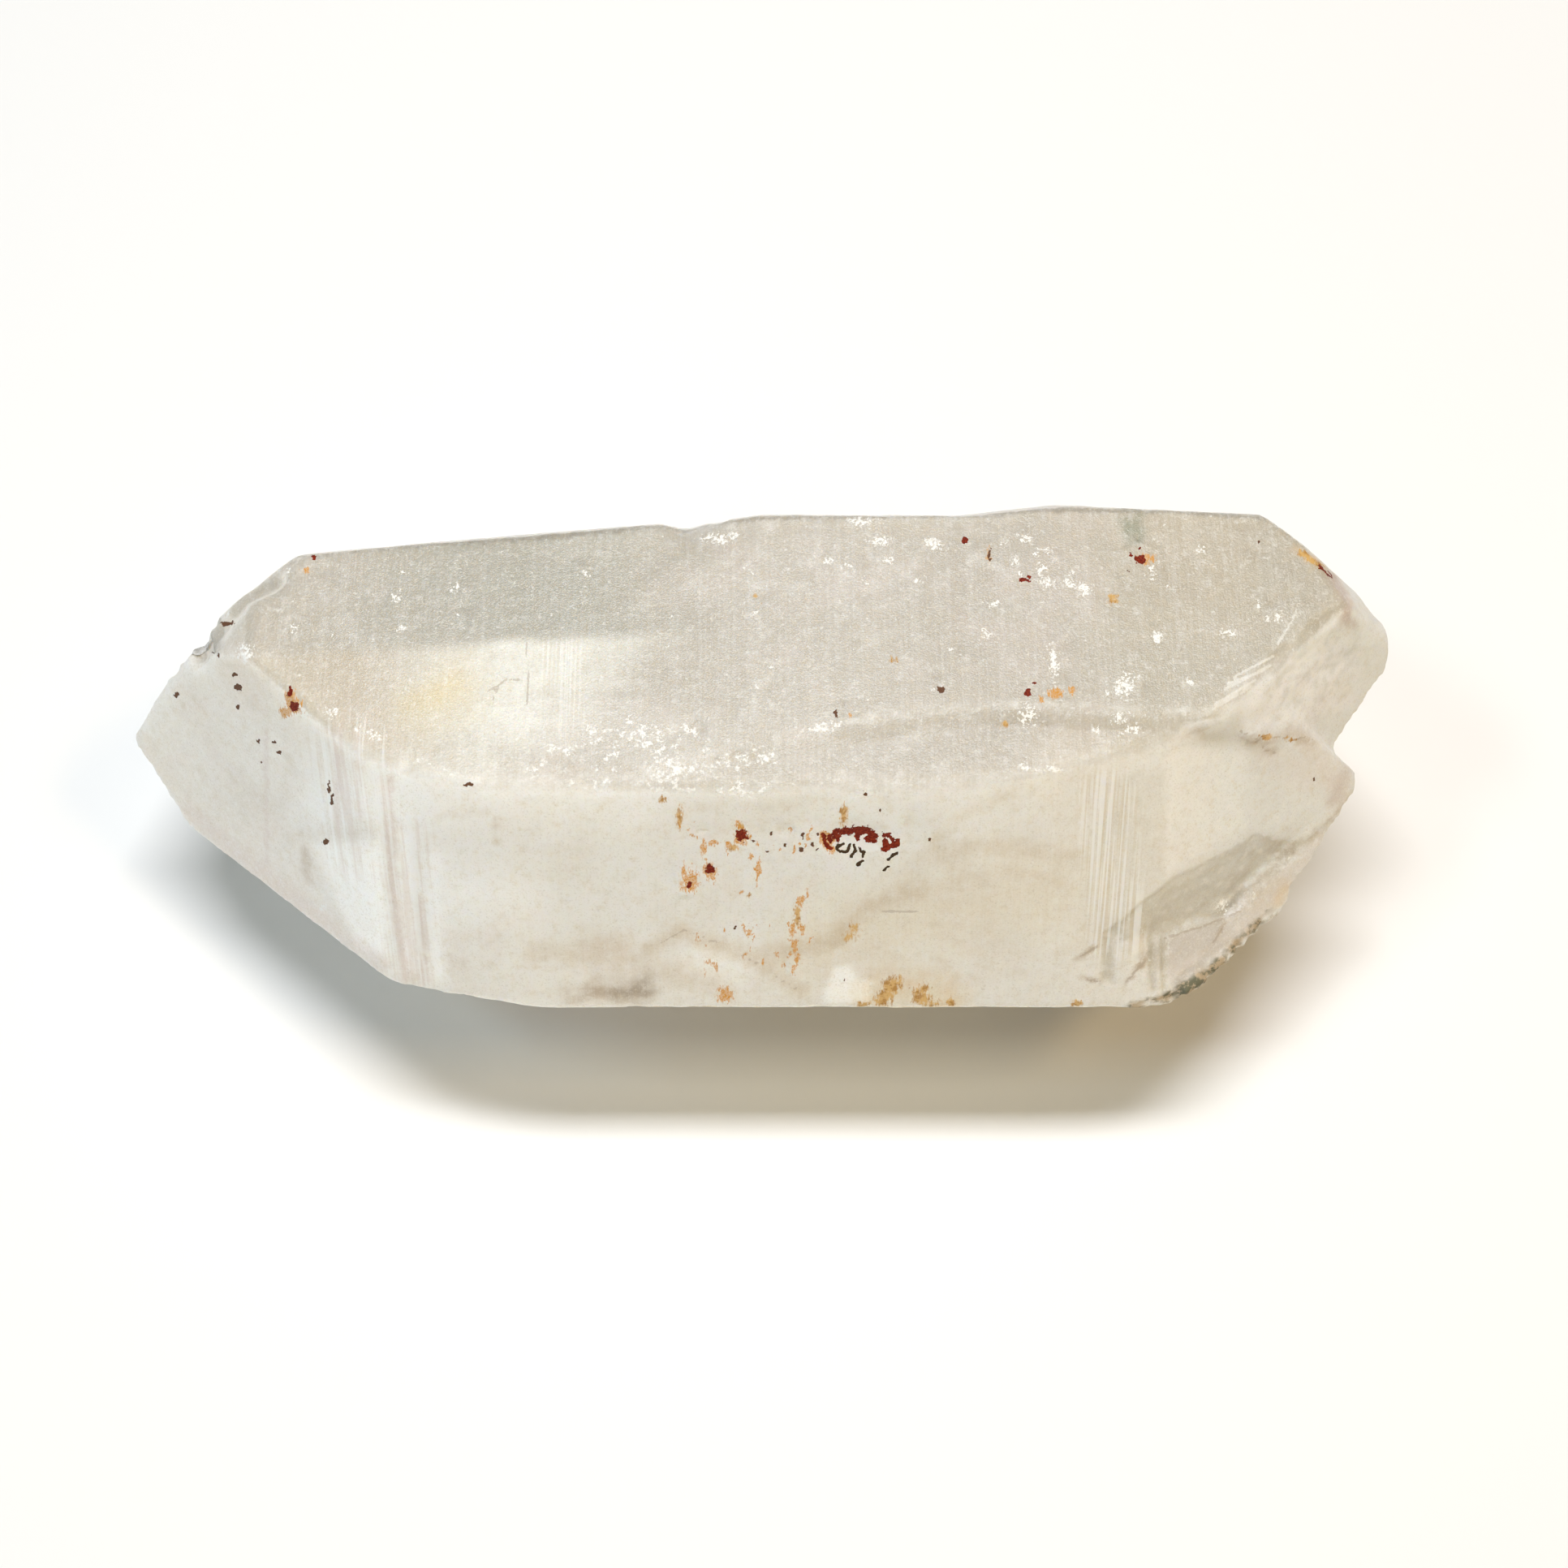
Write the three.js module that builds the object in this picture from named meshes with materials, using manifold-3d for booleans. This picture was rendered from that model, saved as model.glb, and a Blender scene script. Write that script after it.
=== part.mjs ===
// A loose specimen of milky quartz. Two crystals grew side by side on parallel long axes and are
// joined along their whole length: a large front crystal, pointed at both ends, and a rear
// crystal whose top face stands slightly proud. It lies on one prism face of the front crystal.
//
// Millimetres and degrees. X runs along the long axis, +Y is the back and +Z is up. The origin is
// under the middle of the specimen, on the plane of the resting face.
//
// A crystal is a block of stock trimmed by flat faces. Each face is [around, lean, out]: the
// prism face it belongs to, as an angle around the long axis from the top and positive to the
// front; how far it leans from that prism face toward the right point, or the left point when
// negative; and how far out it lies from the middle of the long axis.
import * as THREE from 'three';
import { mergeVertices } from 'three/addons/utils/BufferGeometryUtils.js';
import Module from 'manifold-3d';

const wasm = await Module();
wasm.setup();

// ---- Driving dimensions ---------------------------------------------------------------------

const TOP = 0;
const FRONT_UPPER = 60;
const FRONT_LOWER = 120;
const BOTTOM = 180;
const BACK_LOWER = -120;
const BACK_UPPER = -60;

// A rhombohedral end face of quartz leans this far from its prism face toward the point.
const RIGHT = 38.2;
const LEFT = -38.2;

// The long axis lies this far above the resting face, and this far in from the other prism faces.
const AXIS_HEIGHT = 26.6;
const FRONT_OUT = 26.8;
const BACK_OUT = 27.6;

// The rear crystal's top face stands this far out, so it is proud of the front crystal's.
const REAR_TOP_OUT = 27.4;

// Half the width of a prism face, measured around the axis.
const HALF_FACE = 15.4;

// Sizes of the stock and of the blocks that trim it.
const STOCK = new THREE.Vector3(180, 90, 90);
const BLOCK = 400;

const AXIS = new THREE.Vector3(0, 0, AXIS_HEIGHT);
const UP = new THREE.Vector3(0, 0, 1);

// ---- Making and trimming solids -------------------------------------------------------------

// A three.js geometry as a manifold solid.
function solidOf(geometry) {
  const bare = geometry.clone();
  bare.deleteAttribute('normal');
  bare.deleteAttribute('uv');
  const merged = mergeVertices(bare);
  return new wasm.Manifold(new wasm.Mesh({
    numProp: 3,
    vertProperties: new Float32Array(merged.attributes.position.array),
    triVerts: new Uint32Array(merged.index.array),
  }));
}

// The outward normal of a face.
function normalOf(around, lean) {
  const turn = THREE.MathUtils.degToRad(around);
  const tip = THREE.MathUtils.degToRad(lean);
  return new THREE.Vector3(
    Math.sin(tip),
    -Math.cos(tip) * Math.sin(turn),
    Math.cos(tip) * Math.cos(turn),
  );
}

// All the space outside one flat face.
function outside([around, lean, out]) {
  const normal = normalOf(around, lean);
  const geometry = new THREE.BoxGeometry(BLOCK, BLOCK, BLOCK);
  geometry.translate(0, 0, BLOCK / 2);
  geometry.applyQuaternion(new THREE.Quaternion().setFromUnitVectors(UP, normal));
  geometry.translate(...AXIS.clone().addScaledVector(normal, out));
  return solidOf(geometry);
}

function crystal(faces) {
  const geometry = new THREE.BoxGeometry(STOCK.x, STOCK.y, STOCK.z);
  geometry.translate(...AXIS);
  return faces.reduce((stone, face) => stone.subtract(outside(face)), solidOf(geometry));
}

// A hollow bounded by several faces at once: only what lies outside all of them.
function hollow(faces) {
  return faces.map(outside).reduce((space, next) => space.intersect(next));
}

// Repeatable random numbers from 0 to 1, by the Park and Miller generator.
const RANDOM_FACTOR = 16807;
const RANDOM_MODULUS = 2147483647;

function randomFrom(seed) {
  let state = seed;
  return () => {
    state = (state * RANDOM_FACTOR) % RANDOM_MODULUS;
    return state / RANDOM_MODULUS;
  };
}

// ---- Front crystal --------------------------------------------------------------------------

const LEFT_TAPER = [FRONT_UPPER, -18.4, 34.9];
const RIGHT_TAPER = [52.3, 12.1, 32.9];

const FRONT_CRYSTAL = [
  [TOP, 0, AXIS_HEIGHT],
  [FRONT_UPPER, 0, FRONT_OUT],
  [FRONT_LOWER, 0, FRONT_OUT],
  [BOTTOM, 0, AXIS_HEIGHT],
  [BACK_LOWER, 0, BACK_OUT],
  [BACK_UPPER, 0, BACK_OUT],
  // the left point: three broad rhombohedral faces, three narrow ones between, and a blunt tip
  [FRONT_UPPER, LEFT, 43.6],
  [BACK_UPPER, LEFT, 49.1],
  [BOTTOM, -41.3, 47.2],
  [TOP, LEFT, 53.8],
  [116.9, -32.7, 42.6],
  [BACK_LOWER, LEFT, 50.5],
  [-50.3, -54.2, 59.45],
  // the stretches where the prism tapers into the left point
  LEFT_TAPER,
  [FRONT_UPPER, -9.2, 30.75],
  [FRONT_LOWER, -8, 29.7],
  [BACK_UPPER, -4.7, BACK_OUT],
  // the right point, where the front face tapers in two stages
  [56.2, 6, 29.5],
  RIGHT_TAPER,
  [50.9, 30.8, 43.65],
  [BACK_UPPER, RIGHT, 41.7],
  [BOTTOM, RIGHT, 37.4],
  [FRONT_LOWER, RIGHT, 50.2],
  [BACK_LOWER, RIGHT, 46],
  [TOP, 80, 68.8],
];

// ---- Rear crystal ---------------------------------------------------------------------------

const REAR_CRYSTAL = [
  [TOP, 0, REAR_TOP_OUT],
  [FRONT_UPPER, 0, 26],
  [FRONT_LOWER, 0, 16],
  [BOTTOM, 0, 16],
  [BACK_LOWER, 0, 23.3],
  // its left end is buried in the front crystal, but for the back corner
  [TOP, -1.7, 27],
  [BACK_UPPER, LEFT, 23.2],
  [FRONT_UPPER, LEFT, 40],
  [BOTTOM, LEFT, 20],
  // the right point, blunted at its tip, with a broken lower edge
  [FRONT_UPPER, RIGHT, 46.7],
  [BACK_UPPER, RIGHT, 56.9],
  [BOTTOM, RIGHT, 33.4],
  [FRONT_LOWER, RIGHT, 44],
  [BACK_LOWER, RIGHT, 50],
  [-32.8, 43.8, 63.4],
  [TOP, 80, 73.2],
  [98.1, 8.9, 12.1],
];

// Its front and back edges bend where two growth blocks meet, so each block has its own faces.
const LEFT_BLOCK = [
  [FRONT_UPPER, 9.1, 23.25],
  [BACK_UPPER, 0, 27.85],
];
const RIGHT_BLOCK = [
  [FRONT_UPPER, -3.1, 18.4],
  [BACK_UPPER, -6.1, 25.1],
  [BACK_UPPER, 2.5, 30.5],
];

function rearCrystal() {
  const leftBlock = crystal([...REAR_CRYSTAL, ...LEFT_BLOCK]);
  const rightBlock = crystal([...REAR_CRYSTAL, ...RIGHT_BLOCK]);
  return leftBlock.add(rightBlock);
}

// ---- Striations -----------------------------------------------------------------------------

// A groove at its longest runs out past both edges of its face, and it may stop short of that by
// up to the fade. Both are shares of the half face.
const GROOVE_REACH = 1.2;
const GROOVE_FADE = 0.9;

// The square bar that cuts a groove is this many times as thick as the groove is deep.
const BAR_TO_DEPTH = 6;

// A shallow V groove across a face, at right angles to the long axis, where the face is `along`
// millimetres from the middle. `from` and `to` are its ends, as shares of the half face.
function groove([around, lean, out], along, depth, from, to) {
  const turn = THREE.MathUtils.degToRad(around);
  const tip = THREE.MathUtils.degToRad(lean);
  const normal = normalOf(around, lean);
  const across = new THREE.Vector3(0, -Math.cos(turn), -Math.sin(turn));
  const onward = new THREE.Vector3().crossVectors(normal, across);
  const side = BAR_TO_DEPTH * depth;
  const geometry = new THREE.BoxGeometry(side, (to - from) * HALF_FACE, side);
  geometry.rotateY(Math.PI / 4);
  geometry.translate(0, ((from + to) / 2) * HALF_FACE, side * Math.SQRT1_2 - depth);
  geometry.applyMatrix4(new THREE.Matrix4().makeBasis(onward.clone().negate(), across, normal));
  const slide = (along - Math.sin(tip) * out) / Math.cos(tip);
  const middle = AXIS.clone().addScaledVector(normal, out);
  middle.addScaledVector(onward, onward.x > 0 ? slide : -slide);
  geometry.translate(...middle);
  return solidOf(geometry);
}

// Grooves spread unevenly from `start` to `end` along one face.
function striations(face, start, end, count, depth, seed) {
  const random = randomFrom(seed);
  const step = (end - start) / count;
  return Array.from({ length: count }, (_, index) => {
    const along = start + step * (index + 0.15 + 0.7 * random());
    const from = -GROOVE_REACH + GROOVE_FADE * random() * random();
    const to = GROOVE_REACH - GROOVE_FADE * random() * random();
    return groove(face, along, depth * (0.6 + 0.6 * random()), from, to);
  });
}

function allStriations() {
  return [
    ...striations(LEFT_TAPER, -42, -29, 9, 0.16, 11),
    ...striations([FRONT_UPPER, 0, FRONT_OUT], -28, -22, 3, 0.1, 12),
    ...striations(RIGHT_TAPER, 32, 44, 11, 0.13, 13),
    ...striations([FRONT_LOWER, 0, FRONT_OUT], -34, 40, 12, 0.16, 14),
    ...striations([BACK_UPPER, 0, BACK_OUT], -20, -2, 4, 0.14, 15),
    ...striations([BACK_LOWER, 0, BACK_OUT], -38, 34, 12, 0.18, 16),
    ...striations([BOTTOM, 0, AXIS_HEIGHT], 14, 30, 4, 0.12, 17),
  ];
}

// ---- Chips and broken surfaces --------------------------------------------------------------

// A conchoidal chip: a cap of a sphere, `depth` deep, sunk into the surface at a point. The sphere
// is faceted, and it is turned by an angle taken from its place, so no two chips break alike.
function chip(at, [around, lean], radius, depth, detail = 1) {
  const geometry = new THREE.IcosahedronGeometry(radius, detail);
  const centre = new THREE.Vector3(...at).addScaledVector(normalOf(around, lean), radius - depth);
  geometry.rotateX(at[0]);
  geometry.rotateY(at[1]);
  geometry.translate(...centre);
  return solidOf(geometry);
}

// Chips strung along an edge between two points, each a little different.
function chippedEdge(start, end, direction, count, radius, depth, spread, seed) {
  const random = randomFrom(seed);
  const first = new THREE.Vector3(...start);
  const last = new THREE.Vector3(...end);
  return Array.from({ length: count }, (_, index) => {
    const at = first.clone().lerp(last, (index + 0.2 + 0.6 * random()) / count);
    at.x += spread * (random() - 0.5);
    at.y += spread * (random() - 0.5);
    const size = radius * (0.6 + 0.8 * random());
    return chip(at.toArray(), direction, size, depth * (0.5 + 0.9 * random()));
  });
}

function allChips() {
  return [
    // the worn back edge of the left point
    ...chippedEdge([-49, 11, 53.4], [-59, 2.6, 49.5], [-45, -40], 6, 2.6, 0.75, 1, 21),
    ...chippedEdge([-60, 2.6, 47.5], [-69, 3.2, 33.5], [-60, -60], 5, 2.4, 0.5, 0.6, 22),
    // the edge between the left point and the top face
    ...chippedEdge([-53, -0.6, 53.2], [-40, -11.6, 53.2], [35, -25], 7, 1.8, 0.32, 0.8, 23),
    // the bruised ridge between the top and the front
    ...chippedEdge([-30, -15.3, 53.2], [8, -15.3, 53.2], [30, 0], 15, 1.7, 0.3, 1.6, 24),
    ...chippedEdge([10, -15.3, 53.2], [30, -13.7, 53.2], [30, 0], 4, 1.4, 0.2, 1, 25),
    // bruises on the top face, next to that ridge
    ...chippedEdge([-23, -11, 53.25], [2, -10, 53.25], [0, 0], 12, 1.5, 0.25, 5, 26),
    // the back edge of the top, with a dip where the rear crystal begins
    ...chippedEdge([-44, 12.6, 53.4], [-12, 15.5, 53.4], [-30, 0], 6, 2.4, 0.16, 0.4, 27),
    chip([-6.4, 15.6, 53.4], [-30, 0], 7, 0.75, 3),
    ...chippedEdge([0, 16.3, 54], [54, 17.1, 54.1], [-30, 0], 9, 2.4, 0.18, 0.4, 28),
    // the edges low on the front and round the back
    ...chippedEdge([-30, -30.4, 26.4], [44, -30.9, 26.4], [100, 0], 6, 2, 0.12, 0.4, 29),
    ...chippedEdge([-36, 31.6, 26.6], [36, 31.8, 26.6], [-90, 0], 10, 2.6, 0.5, 0.8, 30),
  ];
}

// Where the rear crystal's point meets its top, a run of shallow shell-shaped breaks.
function shellBreaks() {
  return [
    chip([52.6, -5.6, 54], [30, 20], 17, 0.8, 12),
    chip([56.6, -2.2, 53.8], [26, 24], 13, 0.95, 11),
    chip([61.2, 2.2, 53.9], [22, 24], 16, 0.75, 12),
    chip([64.5, 1, 48.2], [FRONT_UPPER, RIGHT], 15, 0.35, 12),
  ];
}

// The broken corner low on the right: a steep break, a flatter one that meets it in a valley,
// and the sound rim that stops them both short of the point.
const BROKEN_CORNER = [
  [65.4, 32.7, 44.97],
  [29.7, 27.4, 35.67],
  [3.5, -15.6, -10.96],
];

// Small etched pits, most of them stained, as [at, face direction, radius, depth].
const PITS = [
  [[-48.05, -5.67, 52.11], [FRONT_UPPER, LEFT], 1.5, 0.45],
  [[-52.3, -4.6, 48.2], [FRONT_UPPER, LEFT], 0.9, 0.25],
  [[-3.9, -21.1, 43.7], [FRONT_UPPER, 0], 0.9, 0.3],
  [[-0.5, -18.8, 47.7], [FRONT_UPPER, 0], 0.9, 0.3],
  [[-6, -22, 42.2], [FRONT_UPPER, 0], 1, 0.3],
  [[32.9, -5, 54], [TOP, 0], 1, 0.3],
  [[42.7, 11.1, 54], [TOP, 0], 0.9, 0.3],
  [[40.3, -4.2, 54], [TOP, 0], 1.2, 0.3],
];

// The largest pit is a long oval on the front face.
const OVAL_PIT_HALF = new THREE.Vector3(4.3, 2, 0.4);
const OVAL_PIT_PLACE = new THREE.Vector3(11.8, -19.1, 47.1);

function ovalPit() {
  const geometry = new THREE.IcosahedronGeometry(1, 3);
  geometry.scale(...OVAL_PIT_HALF);
  geometry.rotateX(THREE.MathUtils.degToRad(FRONT_UPPER));
  geometry.translate(...OVAL_PIT_PLACE);
  return solidOf(geometry);
}

// ---- Crusts ---------------------------------------------------------------------------------

// A crumbly crust: small angular lumps, half sunk, strung between two points.
function crust(start, end, count, radius, spread, seed) {
  const random = randomFrom(seed);
  const first = new THREE.Vector3(...start);
  const last = new THREE.Vector3(...end);
  return Array.from({ length: count }, (_, index) => {
    const at = first.clone().lerp(last, (index + random()) / count);
    const size = radius * (0.55 + 0.75 * random());
    const geometry = new THREE.IcosahedronGeometry(size, 0);
    geometry.scale(1, 0.7 + 0.5 * random(), 0.6 + 0.4 * random());
    geometry.rotateZ(3 * random());
    geometry.rotateX(3 * random());
    const offset = [random(), random(), random()].map((share) => spread * (share - 0.5));
    geometry.translate(at.x + offset[0], at.y + offset[1], at.z + offset[2]);
    return solidOf(geometry);
  });
}

function allCrusts() {
  return [
    // chlorite along the low right edge
    ...crust([60.2, -18.6, 26.6], [48.2, -28.7, 26.6], 34, 0.95, 1.1, 41),
    // crumbs on the ledge below the rear crystal's point
    ...crust([53.4, -7.2, 49], [62.6, -4.4, 39.6], 15, 0.75, 0.8, 42),
  ];
}

// ---- The part -------------------------------------------------------------------------------

function specimen() {
  const cuts = [
    ...allStriations(),
    ...allChips(),
    ...shellBreaks(),
    ...PITS.map((pit) => chip(...pit)),
    ovalPit(),
    hollow(BROKEN_CORNER),
  ];
  const grown = crystal(FRONT_CRYSTAL).add(rearCrystal());
  const worn = cuts.reduce((stone, cut) => stone.subtract(cut), grown);
  return allCrusts().reduce((stone, lump) => stone.add(lump), worn);
}

// The largest of the bodies in a solid. A cut can leave a loose crumb, which is dropped.
function mainBody(solid) {
  return solid.decompose().reduce((a, b) => (a.volume() > b.volume() ? a : b));
}

function geometryOf(solid) {
  const mesh = solid.getMesh();
  const geometry = new THREE.BufferGeometry();
  geometry.setAttribute('position', new THREE.BufferAttribute(mesh.vertProperties, 3));
  geometry.setIndex(new THREE.BufferAttribute(mesh.triVerts, 1));
  geometry.computeBoundingBox();
  const box = geometry.boundingBox;
  geometry.translate(-(box.min.x + box.max.x) / 2, -(box.min.y + box.max.y) / 2, -box.min.z);
  return geometry;
}

const milkyQuartz = new THREE.MeshStandardMaterial({
  color: 0xd8cfc0,
  roughness: 0.4,
  metalness: 0,
  flatShading: true,
});

const quartzCrystal = new THREE.Mesh(geometryOf(mainBody(specimen())), milkyQuartz);
quartzCrystal.name = 'quartz_crystal';

const part = new THREE.Group();
part.add(quartzCrystal);

export default part;
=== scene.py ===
# A loose specimen of milky quartz: two crystals grown side by side, pointed at both ends, lying
# on one prism face. Metres, +Z up, +X along the crystals, -Y toward the viewer.
import math

import bmesh
import bpy
import numpy as np
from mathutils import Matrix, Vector, noise


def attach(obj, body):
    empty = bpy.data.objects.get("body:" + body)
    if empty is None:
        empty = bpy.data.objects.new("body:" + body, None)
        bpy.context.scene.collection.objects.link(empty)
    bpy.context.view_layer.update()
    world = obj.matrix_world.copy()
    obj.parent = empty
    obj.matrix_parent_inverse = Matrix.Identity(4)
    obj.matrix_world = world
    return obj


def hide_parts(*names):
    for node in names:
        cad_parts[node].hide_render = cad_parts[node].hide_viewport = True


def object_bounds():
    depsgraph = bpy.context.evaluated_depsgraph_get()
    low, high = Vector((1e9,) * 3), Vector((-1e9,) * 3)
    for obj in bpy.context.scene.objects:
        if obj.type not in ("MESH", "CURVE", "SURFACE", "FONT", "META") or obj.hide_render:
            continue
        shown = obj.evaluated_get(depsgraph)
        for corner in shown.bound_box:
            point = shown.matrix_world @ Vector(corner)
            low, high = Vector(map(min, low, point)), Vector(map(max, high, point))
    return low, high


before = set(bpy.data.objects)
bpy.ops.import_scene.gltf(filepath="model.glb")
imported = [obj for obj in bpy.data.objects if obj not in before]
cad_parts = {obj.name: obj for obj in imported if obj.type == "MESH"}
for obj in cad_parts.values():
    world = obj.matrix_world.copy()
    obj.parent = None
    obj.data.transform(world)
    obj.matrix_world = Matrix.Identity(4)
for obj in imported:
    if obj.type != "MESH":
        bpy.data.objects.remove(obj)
CAD_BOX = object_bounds()

# ---- Viewpoint, floor and light ------------------------------------------------------------
# The specimen lies on a bright white table in front of a hand-held camera that looks steeply
# down on it. Wide soft light comes from overhead and a little behind, and weak light from both
# sides of the room, cool on the left and warm on the right, reaches into the shadow.

CAMERA_PLACE = (0.00412, -0.11681, 0.2859)
CAMERA_TILT = math.radians(23.5)
CAMERA_CLIP = 0.01
SENSOR = 36.0
FOCAL_PIXELS = 3000
FRAME_PIXELS = 1932
# Each light's name, place, size, power and colour.
LIGHTS = [
    ("window", (0.0, 0.20, 1.0), (0.50, 0.14), 8.9, (0.98, 0.985, 1.0)),
    ("ceiling_left", (-0.50, -0.10, 0.9), (0.25, 0.12), 1.5, (0.74, 0.95, 1.0)),
    ("ceiling_right", (0.50, -0.10, 0.9), (0.25, 0.12), 2.1, (1.0, 0.71, 0.34)),
    ("sky_side", (-0.75, -0.70, 0.12), (0.6, 0.22), 2.9, (0.89, 0.94, 0.98)),
    ("room_side", (0.75, -0.70, 0.12), (0.6, 0.22), 2.4, (1.0, 0.80, 0.46))
]
ROOM_COLOUR = (1.0, 0.98, 0.90, 1)
ROOM_STRENGTH = 0.07
FLOOR_SIZE = 6.0
FLOOR_DROP = 0.0001
FLOOR_WHITE = (0.86, 0.86, 0.86, 1)
FLOOR_ROUGHNESS = 0.6

scene = bpy.context.scene


def add_object(name, data):
    """A new object of the scene, holding a mesh, a light or a camera."""
    added = bpy.data.objects.new(name, data)
    scene.collection.objects.link(added)
    return added


camera_data = bpy.data.cameras.new("camera")
camera_data.sensor_width = SENSOR
camera_data.lens = SENSOR * FOCAL_PIXELS / FRAME_PIXELS
camera_data.clip_start = CAMERA_CLIP
camera = add_object("camera", camera_data)
camera.location = CAMERA_PLACE
camera.rotation_euler = (CAMERA_TILT, 0, 0)
scene.camera = camera


def soft_light(name, place, size, power, colour):
    """A rectangular light at place, facing the specimen."""
    data = bpy.data.lights.new(name, "AREA")
    data.shape = "RECTANGLE"
    data.size, data.size_y = size
    data.energy = power
    data.color = colour
    light = add_object(name, data)
    light.location = place
    light.rotation_euler = Vector(place).to_track_quat("Z", "Y").to_euler()


for lamp in LIGHTS:
    soft_light(*lamp)

world = bpy.data.worlds.new("room")
world.use_nodes = True
room_light = world.node_tree.nodes["Background"]
room_light.inputs["Color"].default_value = ROOM_COLOUR
room_light.inputs["Strength"].default_value = ROOM_STRENGTH
scene.world = world
scene.view_settings.view_transform = "Standard"

floor_bm = bmesh.new()
bmesh.ops.create_grid(floor_bm, x_segments=1, y_segments=1, size=FLOOR_SIZE / 2)
bmesh.ops.translate(floor_bm, verts=floor_bm.verts, vec=(0, 0, -FLOOR_DROP))
floor_mesh = bpy.data.meshes.new("table_top")
floor_bm.to_mesh(floor_mesh)
floor_bm.free()
floor = add_object("table_top", floor_mesh)
floor_paint = bpy.data.materials.new("white_table")
floor_paint.use_nodes = True
floor_shader = floor_paint.node_tree.nodes["Principled BSDF"]
floor_shader.inputs["Base Color"].default_value = FLOOR_WHITE
floor_shader.inputs["Roughness"].default_value = FLOOR_ROUGHNESS
floor_mesh.materials.append(floor_paint)

# ---- Quartz crystal: the shape -------------------------------------------------------------
# One solid of quartz. The flat faces come from the frame's solid, which is given an even fine
# mesh here, and then the relief of a natural stone: worn edges, growth steps across the prism
# faces, a broken surface at the right-hand ends and a crumbly crust along one lower edge.

MM = 0.001
MERGE_GAP = 0.001 * MM
VOXEL = 0.72 * MM
# The camera's frame has about 11 of its pixels to a millimetre of the stone. The margin is in
# those pixels, the ledge's reach in millimetres, and the facing is a cosine.
PIXELS_PER_MM = 11
FINE_MARGIN = 9
FINE_FACING = 0.2
WEAR_PASSES = 1
LEDGE_REACH = 2.4
LEDGE_SOFTENING = 12

skin_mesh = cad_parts["quartz_crystal"].data.copy()
skin_mesh.name = "quartz_skin"
skin_mesh.materials.clear()
skin_bm = bmesh.new()
skin_bm.from_mesh(skin_mesh)
bmesh.ops.remove_doubles(skin_bm, verts=skin_bm.verts, dist=MERGE_GAP)
skin_bm.to_mesh(skin_mesh)
skin_bm.free()
stone = add_object("quartz_skin", skin_mesh)
even_faces = stone.modifiers.new("even_faces", "REMESH")
even_faces.mode = "VOXEL"
even_faces.voxel_size = VOXEL
even_faces.use_smooth_shade = True
evaluated = stone.evaluated_get(bpy.context.evaluated_depsgraph_get())
stone_mesh = bpy.data.meshes.new_from_object(evaluated)
stone.modifiers.clear()
stone.data = stone_mesh


def frame_places(points):
    """The column and row of the camera's frame at which each point lies."""
    ahead = (points - CAMERA_PLACE) @ np.array(camera.rotation_euler.to_matrix())
    middle = FRAME_PIXELS / 2
    across = middle - FOCAL_PIXELS * ahead[:, 0] / ahead[:, 2]
    down = middle + FOCAL_PIXELS * ahead[:, 1] / ahead[:, 2]
    return across, down


def soft_step(value, low, high):
    """0 up to low, 1 from high on, and a smooth rise between them."""
    share = np.clip((value - low) / (high - low), 0, 1)
    return share * share * (3 - 2 * share)


# Places on the quartz are given by the column and row of the camera's frame. A dot or flake is
# the place of its middle, then its half width and half height in millimetres. A chip in the rim is
# the place of its middle, then its depth and reach. The rest are paths and closed outlines.

# Iron stains.
RUST_DOTS = [
    (914, 1029, 0.68, 0.65), (874, 1071, 0.45, 0.55), (850, 1090, 0.3, 0.3), (362, 870, 0.55, 0.6),
    (357, 850, 0.3, 0.6), (1406, 689, 0.6, 0.55), (1188, 666, 0.3, 0.4), (1260, 714, 0.5, 0.3),
    (1268, 712, 0.3, 0.3), (1267, 853, 0.35, 0.4), (386, 686, 0.35, 0.35), (1404, 676, 0.2, 0.2),
    (1276, 842, 0.3, 0.2), (1393, 684, 0.25, 0.25)
]
RUST_HALOS = [
    (914, 1031, 0.85, 0.95), (874, 1073, 0.75, 0.9), (850, 1086, 1.1, 1.3), (843, 1074, 0.4, 0.9),
    (362, 870, 1.1, 1.1), (352, 878, 0.8, 0.6), (358, 858, 0.6, 1.2), (867, 1044, 0.4, 0.9),
    (879, 1039, 0.6, 0.35), (898, 1041, 0.5, 0.4), (934, 1072, 0.35, 1.5), (925, 1056, 0.3, 0.4),
    (986, 1111, 0.4, 0.7), (977, 1145, 0.3, 0.9), (988, 1145, 0.45, 0.6), (979, 1166, 0.35, 0.9),
    (983, 1183, 0.4, 0.7), (978, 1195, 0.25, 0.5), (1300, 854, 0.95, 0.6), (1321, 850, 0.6, 0.5),
    (1283, 862, 0.4, 0.35), (1412, 688, 1.1, 0.7), (1218, 683, 0.25, 0.9), (1048, 880, 0.22, 0.6),
    (377, 703, 0.6, 0.5), (893, 1225, 0.9, 1.0), (923, 1151, 0.4, 0.4)
]
DARK_DOTS = [
    (289, 832, 0.3, 0.3), (293, 847, 0.4, 0.4), (217, 857, 0.3, 0.25), (280, 768, 0.8, 0.3),
    (401, 1037, 0.35, 0.3), (1159, 848, 0.5, 0.35), (1030, 877, 0.15, 0.6), (578, 967, 0.6, 0.2),
    (1620, 958, 0.22, 0.22), (906, 1143, 0.25, 0.3), (1219, 683, 0.2, 0.7), (405, 970, 0.2, 0.6),
    (409, 984, 0.15, 0.7)
]
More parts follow.
